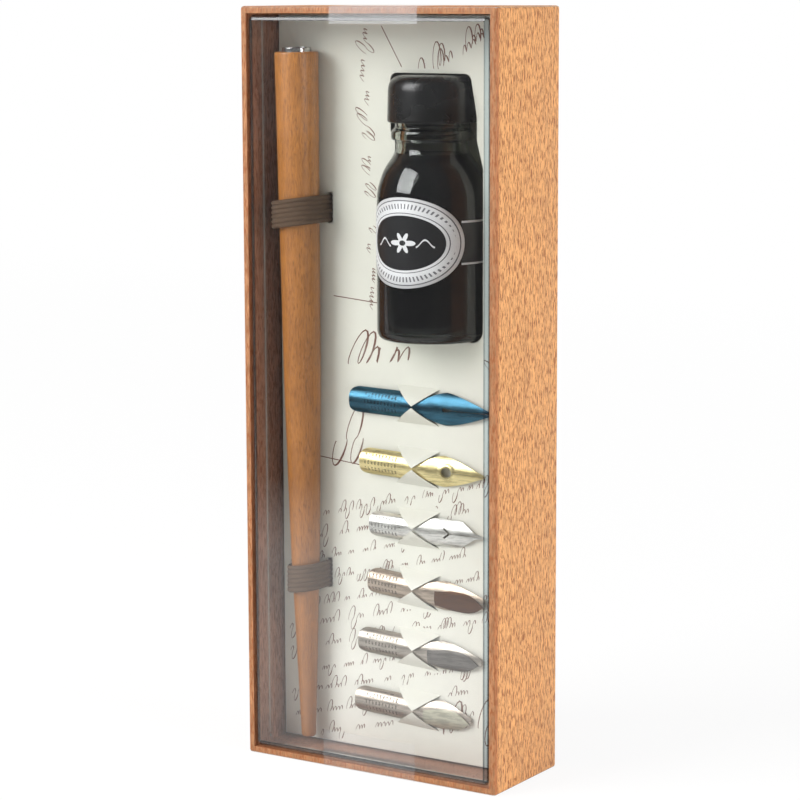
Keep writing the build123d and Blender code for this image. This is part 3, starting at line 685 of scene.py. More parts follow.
# ------------------------------------------------------------------ card
class MakeCard(bpy.types.Operator):
    """Print the folded card and scribble its script"""

    bl_idname = "calligraphy_set.make_card"
    bl_label = "Card"

    def execute(self, context):
        settings = context.scene.calligraphy_card
        self.lay_flaps(card_print(settings))
        self.scribble(settings)
        return {"FINISHED"}

    def lay_flaps(self, material):
        """The die-cut card with its flaps eased down, so that they slope up to each nib's waist."""
        bm = bmesh.new()
        bm.from_mesh(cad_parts["insert_card"].data)
        bmesh.ops.scale(bm, vec=(1 / MM, 1 / MM, 1 / MM), verts=bm.verts)
        bmesh.ops.remove_doubles(bm, verts=bm.verts, dist=1e-3)
        bmesh.ops.recalc_face_normals(bm, faces=bm.faces)
        for index in range(len(NIBS)):
            place = nib_matrix(index)
            back = place.inverted()
            for vert in bm.verts:
                u, v, h = back @ vert.co
                if abs(u) < 7.2 and abs(v) < 5.2 and h > 0.02:
                    under = math.hypot(v, h + 0.95) < 4.7
                    reach = max(0.0, 1 - abs(v) / 4.83)
                    eased = 3.5 * math.sin(math.pi / 2 * reach) - (0.35 if under else 0.0)
                    vert.co = place @ Vector((u, v, max(eased, 0.02 if under else 0.05)))
        sheet_object("card_die_cut", bm, "insert", [material], ["insert_card"], crease=30.0)

    def scribble(self, settings):
        """Writes all the scribbles as one mesh. A line is (start, angle, length, height, weight)."""
        chance = random.Random(settings.seed)
        curve = bpy.data.curves.new("card_script", "CURVE")
        curve.dimensions = "3D"
        curve.bevel_depth = 0.16
        curve.bevel_resolution = 0
        lines = []
        for row in range(11):
            start = (-34.0 + chance.uniform(0, 4), 1.6 + row * 5.9)
            lines.append((start, 14.0, chance.uniform(48.0, 68.0), chance.uniform(1.0, 1.4), 0.9))
        for row in range(5):
            start = (-7.0 - row * 0.6, 118.0 + row * 14.5)
            lines.append((start, 84.0, 12.0, chance.uniform(1.1, 1.5), 0.95))
        for row in range(3):
            start = (6.0 + row * 7.0, 175.5 + row * 3.8)
            lines.append((start, 33.0, 20.0, chance.uniform(1.6, 2.3), 1.25))
        lines += [
            ((-14.5, 103.5), 6.0, 24.0, 4.2, 2.0),
            ((-18.5, 83.0), 12.0, 14.0, 3.6, 1.8),
            ((12.0, 8.5), 17.0, 24.0, 3.0, 1.9),
            ((29.5, 104.0), 80.0, 70.0, 1.5, 0.9),
        ]
        for start, angle, length, height, weight in lines:
            for points in cursive(chance, length, height):
                self.lay(curve, points, Vector(start), math.radians(angle), weight)
        rules = [((-19.0, 121.0), (-5.5, 119.9)), ((-33.5, 79.5), (4.0, 76.0)), ((-4.0, 190.0), (7.0, 171.5))]
        steps = 40
        for start, end in rules:
            points = [Vector(start).lerp(Vector(end), i / steps) for i in range(steps + 1)]
            self.lay(curve, [(p, 0.8) for p in points], Vector((0, 0)), 0.0, 1.0)
        bm = swept(curve)
        bmesh.ops.scale(bm, vec=(1, 0.1, 1), verts=bm.verts)
        bmesh.ops.translate(bm, vec=(0, CARD_FACE - 0.015, 0), verts=bm.verts)
        sheet_object("card_script", bm, "insert", [script_ink(settings)])

    def lay(self, curve, points, start, angle, weight):
        """Turns a stroke to its line and breaks it where the card is cut away."""
        run = []
        turned = Matrix.Rotation(angle, 2)
        for point, press in points:
            place = start + turned @ point
            if printable(place.x, place.y):
                run.append((place.x, 0.0, place.y, press * weight))
            else:
                self.ink(curve, run)
                run = []
        self.ink(curve, run)

    def ink(self, curve, run):
        if len(run) > 2:
            add_path(curve, run)


def printable(x, z):
    """True where the card is whole: clear of its edges, cut-outs and flaps."""
    if abs(x) > CARD_HIGH.x - 0.9 or not CARD_LOW.z + 0.9 < z < CARD_HIGH.z - 0.9:
        return False
    if GLASS_LOW.z - 1.2 < z < GLASS_LOW.z + 67.6 and BOTTLE.x - 15.6 < x < BOTTLE.x + 16.6:
        return False
    for centre, leg, tall in ((-25.66, 5.3, 142.9), (-25.27, 4.0, 47.2)):
        if abs(z - tall - (x - centre) * 0.14) < 5.0 and abs(abs(x - centre) - leg - 0.5) < 1.2:
            return False
    return all(abs(x - NIB_X) > 7.3 or abs(z - NIB_Z + i * NIB_PITCH) > 5.6 for i in range(len(NIBS)))


def cursive(chance, length, height):
    """Strokes of joined loops like quick handwriting, as (point, pressure) runs. They spell nothing."""
    at, words = 0.0, []
    while at < length - 2 * height:
        letters = chance.randint(2, 6)
        stroke = []
        for _ in range(letters):
            kind = chance.random()
            wide = height * chance.uniform(0.55, 0.95)
            tall, loop = (chance.uniform(0.7, 1.0), 0.2) if kind < 0.62 else (chance.uniform(1.9, 2.6), 0.34)
            tall = -tall * 0.8 if kind > 0.88 else tall
            steps = 10 if kind < 0.62 else 14
            for i in range(steps):
                t = i / steps
                rise = height * tall * (1 - math.cos(math.tau * t)) / 2
                x = at + wide * t + loop * height * abs(tall) * -math.sin(math.tau * t) * 0.45
                press = 0.45 + 0.55 * max(0.0, math.sin(math.tau * t - 2.6))
                stroke.append((Vector((x + rise * 0.55, rise)), press))
            at += wide
        words.append(stroke)
        at += height * chance.uniform(0.8, 3.0)
    return words


# ------------------------------------------------------------------ elastics
class MakeElastics(bpy.types.Operator):
    """Form the two ribbed elastic loops round the holder"""

    bl_idname = "calligraphy_set.make_elastics"
    bl_label = "Elastic loops"

    def execute(self, context):
        material = ribbed_elastic(context.scene.calligraphy_holder)
        loops = (("elastic_upper", 5.25, 5.3, 0.9), ("elastic_lower", 3.72, 4.0, 0.0))
        for name, radius, leg, slack in loops:
            low, high = node_box(name)
            z = (low.z + high.z) / 2
            centre = PEN_TAIL.lerp(PEN_HEAD, (z - PEN_TAIL.z) / (PEN_HEAD.z - PEN_TAIL.z))
            self.loop(name, centre, radius + 0.42, leg, slack, material)
        return {"FINISHED"}

    def loop(self, name, centre, reach, leg, slack, material):
        """One band: round the holder in front, through the card's slots, and flat behind the card."""
        thick, wide = 0.8, 7.1
        back = -1.0 + thick / 2
        r = reach + thick / 2
        angles = [math.radians(d) for d in range(-88, 89, 8)]
        path = [Vector((math.sin(a) * r, -math.cos(a) * r)) for a in angles]
        path = [Vector((p.x - slack, p.y)) if p.x < 0 else p for p in path]
        right = Vector((leg + thick / 2, back - centre.y - 0.6))
        left = Vector((-leg - thick / 2, right.y))
        path += [path[-1].lerp(right, 0.5), right, Vector((right.x - 0.5, right.y + 0.6))]
        path += [Vector((left.x + 0.5, left.y + 0.6)), left, path[0].lerp(left, 0.5)]
        curve = bpy.data.curves.new(name + "_path", "CURVE")
        curve.dimensions = "2D"
        curve.fill_mode = "NONE"
        add_path(curve, [(p.x, p.y, 0.0, 1.0) for p in path], closed=True)
        curve.bevel_mode = "OBJECT"
        profile = self.ribs(thick, wide)
        curve.bevel_object = profile
        bm = swept(curve)
        bpy.data.objects.remove(profile)
        tidy(bm)
        for vert in bm.verts:
            vert.co.z += vert.co.x * math.tan(math.radians(8.0))
        bmesh.ops.translate(bm, vec=centre, verts=bm.verts)
        sheet_object(name + "_ribbed", bm, "insert", [material], [name], crease=80.0)

    def ribs(self, thick, wide, count=6):
        """The band's cross-section: six round ribs side by side."""
        outline = []
        for side in (1, -1):
            for i in range(count * 6 + 1):
                swell = 0.3 * (1 - abs(math.sin(math.pi * i / 6)) ** 0.8)
                along = -wide / 2 + wide * i / (count * 6)
                outline.append((side * (thick / 2 - swell), side * along, 0.0, 1.0))
        curve = bpy.data.curves.new("rib_outline", "CURVE")
        add_path(curve, outline, closed=True)
        return new_object("rib_outline", curve)


# ------------------------------------------------------------------ penholder
class MakeHolder(bpy.types.Operator):
    """Turn the wooden holder with its ferrule and claw"""

    bl_idname = "calligraphy_set.make_holder"
    bl_label = "Penholder"

    def execute(self, context):
        settings = context.scene.calligraphy_holder
        long = PEN_LONG
        chrome = plate("plated_tube", (0.72, 0.72, 0.71), 0.16)
        spring = plate("spring_sheet", (0.42, 0.42, 0.42), 0.3)
        bore = long - 17.9
        wood = [(0, 0, 0), (1.9, 0, 0.9), (2.0, 3, 0), (3.37, 39.2, 3), (3.72, 47.4, 3), (4.79, 95.2, 8),
                (5.22, 139.0, 8), (5.62, long, 0.5), (3.79, long, 0.1), (3.79, bore, 0), (0, bore, 0)]
        self.turn("holder_wood", wood, turned_wood(settings), "holder_wood", "penholder_wood")
        foot, rim = bore + 0.1, long + 1.08
        ring = [(3.4, foot, 0), (3.75, foot, 0.1), (3.75, rim, 0.16), (3.4, rim, 0.14)]
        self.turn("holder_ferrule", ring, chrome, "ferrule_metal", "pen_ferrule")
        claw = [(3.1, long - 14, 0), (3.32, long - 14, 0), (3.32, long - 11.5, 0.3), (2.75, long - 6, 1),
                (2.95, long + 0.5, 0), (2.72, long + 0.5, 0), (2.5, long - 6, 1), (3.1, long - 11.5, 0.3)]
        bm = lathe(claw, steps=64)
        half_slot = 0.7
        for angle in (0, math.pi / 2):
            normal = Vector((math.cos(angle), math.sin(angle), 0))
            for side in (-1, 1):
                everything = bm.verts[:] + bm.edges[:] + bm.faces[:]
                bmesh.ops.bisect_plane(
                    bm, geom=everything, plane_co=normal * half_slot * side, plane_no=normal, dist=1e-5,
                )
        slots = []
        for face in bm.faces:
            x, y, z = face.calc_center_median()
            if z > long - 11.4 and min(abs(x), abs(y)) < half_slot - SMALL:
                slots.append(face)
        bmesh.ops.delete(bm, geom=slots, context="FACES")
        bmesh.ops.holes_fill(bm, edges=[e for e in bm.edges if e.is_boundary], sides=0)
        tidy(bm)
        sheet_object("holder_claw", bm, "pen", [spring], ["nib_claw"], place=pen_place())
        return {"FINISHED"}

    def turn(self, name, profile, material, slot, node):
        bm = lathe(profile, steps=72)
        sheet_object(name, bm, "pen", [material], [node], place=pen_place())


# ------------------------------------------------------------------ bottle
def bottle_place(height=0.0):
    """From the bottle's axis and foot to its place in the box."""
    return Matrix.Translation(BOTTLE + Vector((0, 0, height)))


class MakeBottle(bpy.types.Operator):
    """Blow the bottle, fill it and finish its neck"""

    bl_idname = "calligraphy_set.make_bottle"
    bl_label = "Bottle and ink"

    def execute(self, context):
        settings = context.scene.calligraphy_bottle
        outside = [(0, 0.9, 0), (7.5, 0.75, 1), (10.2, 0, 0.6), (14.1, 0, 3.2), (14.1, 36.0, 5),
                   (13.4, 39.6, 1.9), (12.0, 43.2, 1.9), (9.9, 46.0, 1.6), (9.0, 47.6, 0.8), (9.0, 49.9, 0.5),
                   (10.4, 50.1, 0.7), (10.4, 52.3, 0.9), (9.4, 53.2, 0.3), (9.4, 63.9, 0.6), (7.2, 63.9, 0.5)]
        inside = [(7.2, 47.2, 1.2), (8.2, 45.0, 1.5), (10.5, 42.3, 1.8), (12.0, 38.7, 1.8), (12.5, 35.0, 1.8),
                  (12.5, 2.0, 2.6), (0, 2.2, 0)]
        bm = lathe(outside + inside, steps=128, segments=6)
        sheet_object("bottle_blown", bm, "bottle", [clear_glass(settings)], ["bottle_glass"],
                     crease=50.0, place=bottle_place())
        self.thread(settings)
        level = 46.5
        filling = [(0, 2.1, 0), (12.62, 1.9, 2.5), (12.62, 35.2, 3.0), (12.2, 38.9, 2.5), (10.7, 42.5, 2.5),
                   (8.3, 45.4, 1.5), (7.5, level - 0.1, 0), (7.2, level - 0.35, 0.5), (0, level - 0.4, 0)]
        bm = lathe(filling, steps=128, segments=6)
        sheet_object("ink_filling", bm, "bottle", [wet_ink(settings)], ["ink"],
                     crease=50.0, place=bottle_place())
        return {"FINISHED"}

    def thread(self, settings):
        """One and a half turns of round thread on the neck, under the cap."""
        bm = bmesh.new()
        outline = ((9.35, -0.55), (9.62, -0.35), (9.8, 0), (9.62, 0.35), (9.35, 0.55))
        ridge = [bm.verts.new((r, 0, z)) for r, z in outline]
        for pair in zip(ridge, ridge[1:] + ridge[:1]):
            bm.edges.new(pair)
        steps, rise = 96, 4.5
        bmesh.ops.spin(
            bm, geom=bm.verts[:] + bm.edges[:], cent=(0, 0, 0), axis=(0, 0, 1), dvec=(0, 0, rise / steps),
            angle=math.tau * 1.5, steps=steps, use_merge=False,
        )
        bmesh.ops.holes_fill(bm, edges=[e for e in bm.edges if e.is_boundary], sides=0)
        tidy(bm)
        glass = clear_glass(settings)
        sheet_object("bottle_thread", bm, "bottle", [glass], place=bottle_place(56.2))


class MakeLabel(bpy.types.Operator):
    """Paste the oval label and its strip round the bottle"""

    bl_idname = "calligraphy_set.make_label"
    bl_label = "Label"

    def execute(self, context):
        bm = bmesh.new()
        half_wide, half_high = LABEL_OVAL
        oval = bmesh.ops.create_grid(bm, x_segments=72, y_segments=6, size=1.0)["verts"]
        for vert in oval:
            across = math.sin(vert.co.x * math.pi / 2)
            high = vert.co.y * half_high * math.sqrt(max(0.0, 1 - across * across))
            vert.co = (across * half_wide, 0.0, high)
        strips = bmesh.ops.create_grid(bm, x_segments=60, y_segments=1, size=1.0)["verts"]
        half_turn = math.radians(150) * LABEL_ROUND
        for vert in strips:
            vert.co = (LABEL_STRIP + (vert.co.x + 1) / 2 * (half_turn - LABEL_STRIP), 0.0, vert.co.y * 5.45)
        right = []
        for face in bm.faces:
            x, _, z = face.calc_center_median()
            if x > LABEL_STRIP + 0.5 or abs(z) < 0.001 and x > LABEL_STRIP - SMALL:
                right.append(face)
        moved = parts_of(bmesh.ops.duplicate(bm, geom=right), BMVert)
        bmesh.ops.scale(bm, vec=(-1, 1, 1), verts=moved)
        for vert in bm.verts:
            turn = vert.co.x / LABEL_ROUND
            radius = LABEL_ROUND - (0.02 if abs(vert.co.x) > LABEL_STRIP - SMALL else 0.0)
            vert.co = (math.sin(turn) * radius, -math.cos(turn) * radius, vert.co.z)
        bmesh.ops.remove_doubles(bm, verts=bm.verts, dist=1e-4)
        bmesh.ops.dissolve_degenerate(bm, edges=bm.edges, dist=1e-5)
        for face in bm.faces:
            centre = face.calc_center_median()
            if face.normal.dot(Vector((centre.x, centre.y, 0))) < 0:
                face.normal_flip()
        paper = label_print(context.scene.calligraphy_bottle)
        place = Matrix.Translation((BOTTLE.x, BOTTLE.y, LABEL_Z))
        piece = sheet_object("bottle_label_paper", bm, "bottle", [paper], ["bottle_label"],
                             place=place)
        give_skin(piece, "paper thickness", LABEL_SKIN, 1.0)
        return {"FINISHED"}


class MakeCap(bpy.types.Operator):
    """Mould the screw cap and its liner"""

    bl_idname = "calligraphy_set.make_cap"
    bl_label = "Cap"

    def execute(self, context):
        settings = context.scene.calligraphy_bottle
        foot, crown = [corner.z - BOTTLE.z for corner in node_box("bottle_cap")]
        roof = crown - 1.2
        profile = [(0, crown, 0), (11.05, crown - 0.05, 4.0), (11.3, foot + 1.2, 1.0),
                   (11.35, foot + 0.6, 0.2), (11.2, foot, 0.25), (10.1, foot, 0.2), (10.05, roof, 0.5),
                   (0, roof, 0)]
        bm = lathe(profile, steps=128, segments=7)
        plastic = moulded_plastic("cap_plastic", settings.cap, 0.26)
        sheet_object("cap_moulded", bm, "cap", [plastic], ["bottle_cap"],
                     crease=50.0, place=bottle_place())
        z = node_box("cap_liner")[0].z - BOTTLE.z
        bm = lathe([(0, z, 0), (9.7, z, 0.2), (9.7, z + 1, 0.2), (0, z + 1, 0)], steps=96)
        foam = moulded_plastic("liner_foam", (0.7, 0.7, 0.68), 0.7)
        sheet_object("cap_liner_disc", bm, "liner", [foam], ["cap_liner"], place=bottle_place())
        return {"FINISHED"}


# ------------------------------------------------------------------ cover
class MakeCover(bpy.types.Operator):
    """Fold the clear cover and tape it"""

    bl_idname = "calligraphy_set.make_cover"
    bl_label = "Clear cover"

    def execute(self, context):
        settings = context.scene.calligraphy_cover
        low, high = node_box("clear_cover")
        bm = bmesh.new()
        block(bm, low, high)
        back = max(bm.faces, key=lambda f: f.calc_center_median().y)
        bmesh.ops.delete(bm, geom=[back], context="FACES_ONLY")
        upright = [e for e in bm.edges if abs(e.verts[0].co.y - e.verts[1].co.y) > 1]
        soften(bm, upright, settings.corner / MM, 5)
        folds = [e for e in bm.edges if all(abs(v.co.y - low.y) < SMALL for v in e.verts)]
        made = soften(bm, folds, settings.fold_round / MM, 5)
        for face in made["faces"]:
            face.material_index = 1
        bmesh.ops.recalc_face_normals(bm, faces=bm.faces)
        for face in bm.faces:
            if abs(face.normal.y) < 0.1:
                face.material_index = 2
        materials = [
            clear_film("clear_film", settings.film, 1.85, 0.003),
            # The fold's deeper tint and dark lines are painted shade for light bent at the fold.
            clear_film("film_fold", settings.fold, 1.5, 0.012, edge=0.25),
            clear_film("film_skirt", settings.film, 1.01, 0.001),
        ]
        piece = sheet_object("cover_film", bm, "cover", materials, ["clear_cover"], crease=60.0)
        give_skin(piece, "film thickness", FILM_SKIN, -1.0, even=True)
        self.tapes()
        return {"FINISHED"}

    def tapes(self):
        tape = clear_film("clear_tape", (0.95, 0.95, 0.95), 1.3, 0.2, 0.3)
        faint = clear_film("clear_tape_low", (0.97, 0.97, 0.97), 1.12, 0.07, 0.2)
        low, high = node_box("tape_top")
        inset = 0.02
        front, over = low.y + inset, high.z - inset
        top = [(front, low.z), (front, over - 0.4), (front + 0.4, over), (high.y, over)]
        self.strip("tape_over_top", low.x, high.x, top, tape, "tape_top")
        low, high = node_box("tape_bottom")
        bottom = [(low.y + inset, low.z), (low.y + inset, high.z)]
        self.strip("tape_over_bottom", low.x, high.x, bottom, faint, "tape_bottom")

    def strip(self, name, left, right, outline, material, node):
        """A strip of tape drawn from the side as (y, z) points."""
        bm = bmesh.new()
        verts = [bm.verts.new((left, y, z)) for y, z in outline]
        edges = [bm.edges.new(pair) for pair in zip(verts, verts[1:])]
        steps = 24
        for _ in range(steps):
            grown = bmesh.ops.extrude_edge_only(bm, edges=edges)
            verts = parts_of(grown, BMVert)
            edges = [e for e in parts_of(grown, BMEdge) if all(v in verts for v in e.verts)]
            bmesh.ops.translate(bm, vec=((right - left) / steps, 0, 0), verts=verts)
        bmesh.ops.recalc_face_normals(bm, faces=bm.faces)
        sheet_object(name, bm, "cover", [material], [node])


# ------------------------------------------------------------------ nibs
Nib = namedtuple("Nib", "node body colour slot heel tip half radius wide_at point tilt vent")
# From the waist: heel and tip lie that far back and on. half is half the width at wide_at, point half the
# width of the point, radius the curve of the front part, and tilt the slope in degrees.
NIBS = [
    Nib("nib_blue", "pointed_blue", "blue", "blued_steel", 19.3, 22.6, 4.2, 6.0, 9.0, 0.25, -1.3, "tear"),
    Nib("nib_gold", "pointed_gold", "gold", "gilt_steel", 16.2, 20.2, 4.0, 5.8, 8.0, 0.25, -1.9, "round"),
    Nib("nib_silver", "fine_silver", "silver", "nickel_steel", 13.3, 19.9, 3.5, 5.2, 7.5, 0.22, -0.7, "vee"),
    Nib("nib_broad_bronze", "broad_bronze", "bronze", "bronzed_steel",
        13.9, 20.3, 3.8, 5.6, 8.5, 1.25, -4.4, ""),
    Nib("nib_broad_grey", "broad_grey", "grey", "grey_steel", 16.9, 19.4, 3.8, 5.6, 8.0, 0.95, -2.8, ""),
    Nib("nib_broad_pale", "broad_pale", "pale", "pale_steel", 18.0, 16.3, 3.8, 5.6, 7.5, 0.7, -2.6, ""),
]
# Reservoir leaf: node, its nib's index, start, end, half width, colour, slot
LEAVES = [
    ("reservoir_bronze", 3, 6.3, 20.0, 2.7, (0.1, 0.036, 0.009), "dark_leaf"),
    ("reservoir_grey", 4, 4.2, 18.6, 2.7, (0.2, 0.19, 0.175), "grey_leaf"),
    ("reservoir_pale", 5, 3.0, 15.9, 2.6, (0.56, 0.55, 0.43), "pale_leaf"),
]
SHANK_HALF, WAIST_HALF, SHANK_RADIUS = 3.4, 2.0, 3.75
CROWN, TIP_CROWN = 2.9, 0.95  # height of the sheet's ridge off the card over the shank and at the tip


def ease(t):
    t = min(1.0, max(0.0, t))
    return t * t * (3 - 2 * t)


def between(value, stops):
    """Smooth steps through (position, value) stops."""
    for (a, p), (b, q) in zip(stops, stops[1:]):
        if value <= b:
            return p + (q - p) * ease((value - a) / (b - a))
    return stops[-1][1]


def nib_half_width(u, nib):
    """Half the flat width at u along the nib: rounded heel, shank, waist, swelling and point."""
    rounding = 2.2
    tip, half, wide = nib.tip, nib.half, nib.wide_at
    if u < rounding - nib.heel:
        bow = math.sqrt(max(0.0, 1 - ((rounding - nib.heel - u) / rounding) ** 2))
        return SHANK_HALF * (0.65 + 0.35 * bow)
    neck = [(-4.5, SHANK_HALF), (-0.5, WAIST_HALF)]
    if nib.vent == "vee":
        shoulder, knee, knee_half = tip * 0.68, 0.62, 0.75
        if u > shoulder:
            t = (u - shoulder) / (tip - shoulder)
            to_knee = half * 0.93 * (1 - t / knee) + knee_half * t / knee
            past = knee_half + (nib.point - knee_half) * max(0.0, t - knee) / (1 - knee)
            return max(to_knee, past)
        neck += [(1.2, WAIST_HALF), (wide - 1.5, half), (tip * 0.6, half), (shoulder, half * 0.93)]
        return between(u, neck)
    if u > wide:
        t = (u - wide) / (tip - wide)
        return nib.point + (half - nib.point) * max(0.0, 1 - t**1.35)
    return between(u, neck + [(1.0, WAIST_HALF), (wide, half)])


def nib_sheet(nib, lift=0.0, start=None, end=None, width=None, aside=0.0):
    """A curved sheet along the nib: X runs heel to tip, Y across and Z off the card."""
    start = -nib.heel if start is None else start
    end = nib.tip if end is None else end
    bends = [(-2.0, SHANK_RADIUS), (nib.wide_at * 0.8, nib.radius), (nib.tip + 1, nib.radius)]
    bm = bmesh.new()
    grid = bmesh.ops.create_grid(bm, x_segments=120, y_segments=26, size=1.0)["verts"]
    for vert in grid:
        u = start + (end - start) * (vert.co.x + 1) / 2
        half = width(u) if width else nib_half_width(u, nib)
        radius = between(u, bends)
        reach = min(half, radius * 0.96)
        angle = math.asin(reach / radius) * vert.co.y + aside / radius
        crown = CROWN + (TIP_CROWN - CROWN) * max(0.0, u) / nib.tip
        height = crown - radius * (1 - math.cos(angle)) + lift
        if nib.vent == "round":
            ring = math.hypot(u - nib.wide_at - 1.5, angle * radius)
            height += 0.28 * math.exp(-(((ring - 1.75) / 0.4) ** 2))
        vert.co = (u, math.sin(angle) * radius, max(height, 0.28 + max(lift, 0)))
    return bm


def nib_matrix(index):
    """From a nib's own frame to the card: X along it, Z towards the front."""
    tilt = math.radians(NIBS[index].tilt)
    along = Vector((math.cos(tilt), 0, math.sin(tilt)))
    out = Vector((0, -1, 0))
    turn = Matrix((along, out.cross(along), out)).transposed().to_4x4()
    return Matrix.Translation((NIB_X, CARD_FACE, NIB_Z - index * NIB_PITCH)) @ turn


class MakeNibs(bpy.types.Operator):
    """Press the six nibs and their reservoirs"""

    bl_idname = "calligraphy_set.make_nibs"
    bl_label = "Nibs"

    def execute(self, context):
        settings = context.scene.calligraphy_nibs
        for index, nib in enumerate(NIBS):
            shank = NIB_Z - index * NIB_PITCH - SHANK_MIDDLE * math.tan(math.radians(nib.tilt))
            metal = 0.9 if nib.colour == "blue" else 0.8
            tone = getattr(settings, nib.colour)
            steel = plate(nib.node + "_plate", tone, 0.3, metal=metal, stamped=shank)
            bm = nib_sheet(nib)
            thicken(bm, NIB_SKIN)
            bm = self.cut(nib.node + "_pressed", bm, nib)
            self.lay(nib.node, bm, index, steel, nib.slot)
        for node, index, start, end, half, tone, slot in LEAVES:

            def leaf(u, start=start, end=end, half=half):
                t = (u - start) / (end - start)
                if t < 0.55:
                    return half * (0.72 + 0.28 * ease(t / 0.4))
                return max(0.15, half * (1 - ((t - 0.55) / 0.45) ** 2.2))

            bm = nib_sheet(NIBS[index], 0.32, start, end, leaf, aside=-0.9)
            thicken(bm, LEAF_SKIN)
            self.lay(node, bm, index, plate(node + "_plate", tone, 0.35, metal=0.5), slot)
        return {"FINISHED"}

    def lay(self, node, bm, index, material, slot):
        body = NIBS[index].body
        place = nib_matrix(index)
        sheet_object(node + "_pressed", bm, body, [material], [node], crease=50.0, place=place)

    def cut(self, name, bm, nib):
        """Cuts the vent and the slit through the sheet."""
        sheet = loose_object(name, bm)
        cutters = [loose_object("cutter", part) for part in self.cutters(nib)]
        for cutter in cutters:
            hole = sheet.modifiers.new("cut", "BOOLEAN")
            hole.operation, hole.solver, hole.object = "DIFFERENCE", "EXACT", cutter
        bm = bmesh.new()
        bm.from_mesh(baked(sheet))
        for used in (sheet, *cutters):
            bpy.data.objects.remove(used)
        return bm

    def cutters(self, nib):
        """The solids that punch one nib: its vent, then its slit, in the nib's own frame."""
        wide, tip, vent = nib.wide_at, nib.tip, nib.vent
        starts = wide + 1.5
        parts = []
        if vent == "round":
            bm = bmesh.new()
            bmesh.ops.create_cone(bm, cap_ends=True, segments=40, radius1=1.3, radius2=1.3, depth=12)
            bmesh.ops.scale(bm, vec=(1.1, 0.95, 1), verts=bm.verts)
            bmesh.ops.translate(bm, vec=(starts, 0, 0), verts=bm.verts)
            parts.append(bm)
        elif vent == "tear":
            starts = wide
            bm = bmesh.new()
            bmesh.ops.create_cone(bm, cap_ends=True, segments=24, radius1=0.55, radius2=0.55, depth=12)
            for vert in bm.verts:
                vert.co.x = vert.co.x * 5 if vert.co.x > 0 else vert.co.x
                vert.co.y *= max(0.2, 1 - max(0.0, vert.co.x) / 3)
            bmesh.ops.translate(bm, vec=(starts, 0, 0), verts=bm.verts)
            parts.append(bm)
        elif vent == "vee":
            for side in (-1, 1):
                bm = bmesh.new()
                block(bm, (-2.3, -0.24, -6), (0, 0.24, 6))
                turn = Matrix.Rotation(side * math.radians(38), 3, "Z")
                bmesh.ops.rotate(bm, cent=(0, 0, 0), matrix=turn, verts=bm.verts)
                bmesh.ops.translate(bm, vec=(starts + 1.5, side * 0.12, 0), verts=bm.verts)
                parts.append(bm)
        slit = bmesh.new()
        block(slit, (starts + (0.9 if vent else 0.0), -0.07, -6.3), (tip + 1, 0.07, 6.3))
        parts.append(slit)
        return parts


def loose_object(name, bm):
    """An object used only while a piece is being made."""
    bmesh.ops.recalc_face_normals(bm, faces=bm.faces)
    return new_object(name, mesh_of(name, bm))


def thicken(bm, thick):
    """Gives a sheet its thickness below the surface, with a closed edge."""
    bmesh.ops.remove_doubles(bm, verts=bm.verts, dist=1e-4)
    bmesh.ops.recalc_face_normals(bm, faces=bm.faces)
    if sum(f.normal.z for f in bm.faces) < 0:
        bmesh.ops.reverse_faces(bm, faces=bm.faces)
    bmesh.ops.solidify(bm, geom=bm.faces[:], thickness=thick)
    bmesh.ops.recalc_face_normals(bm, faces=bm.faces)


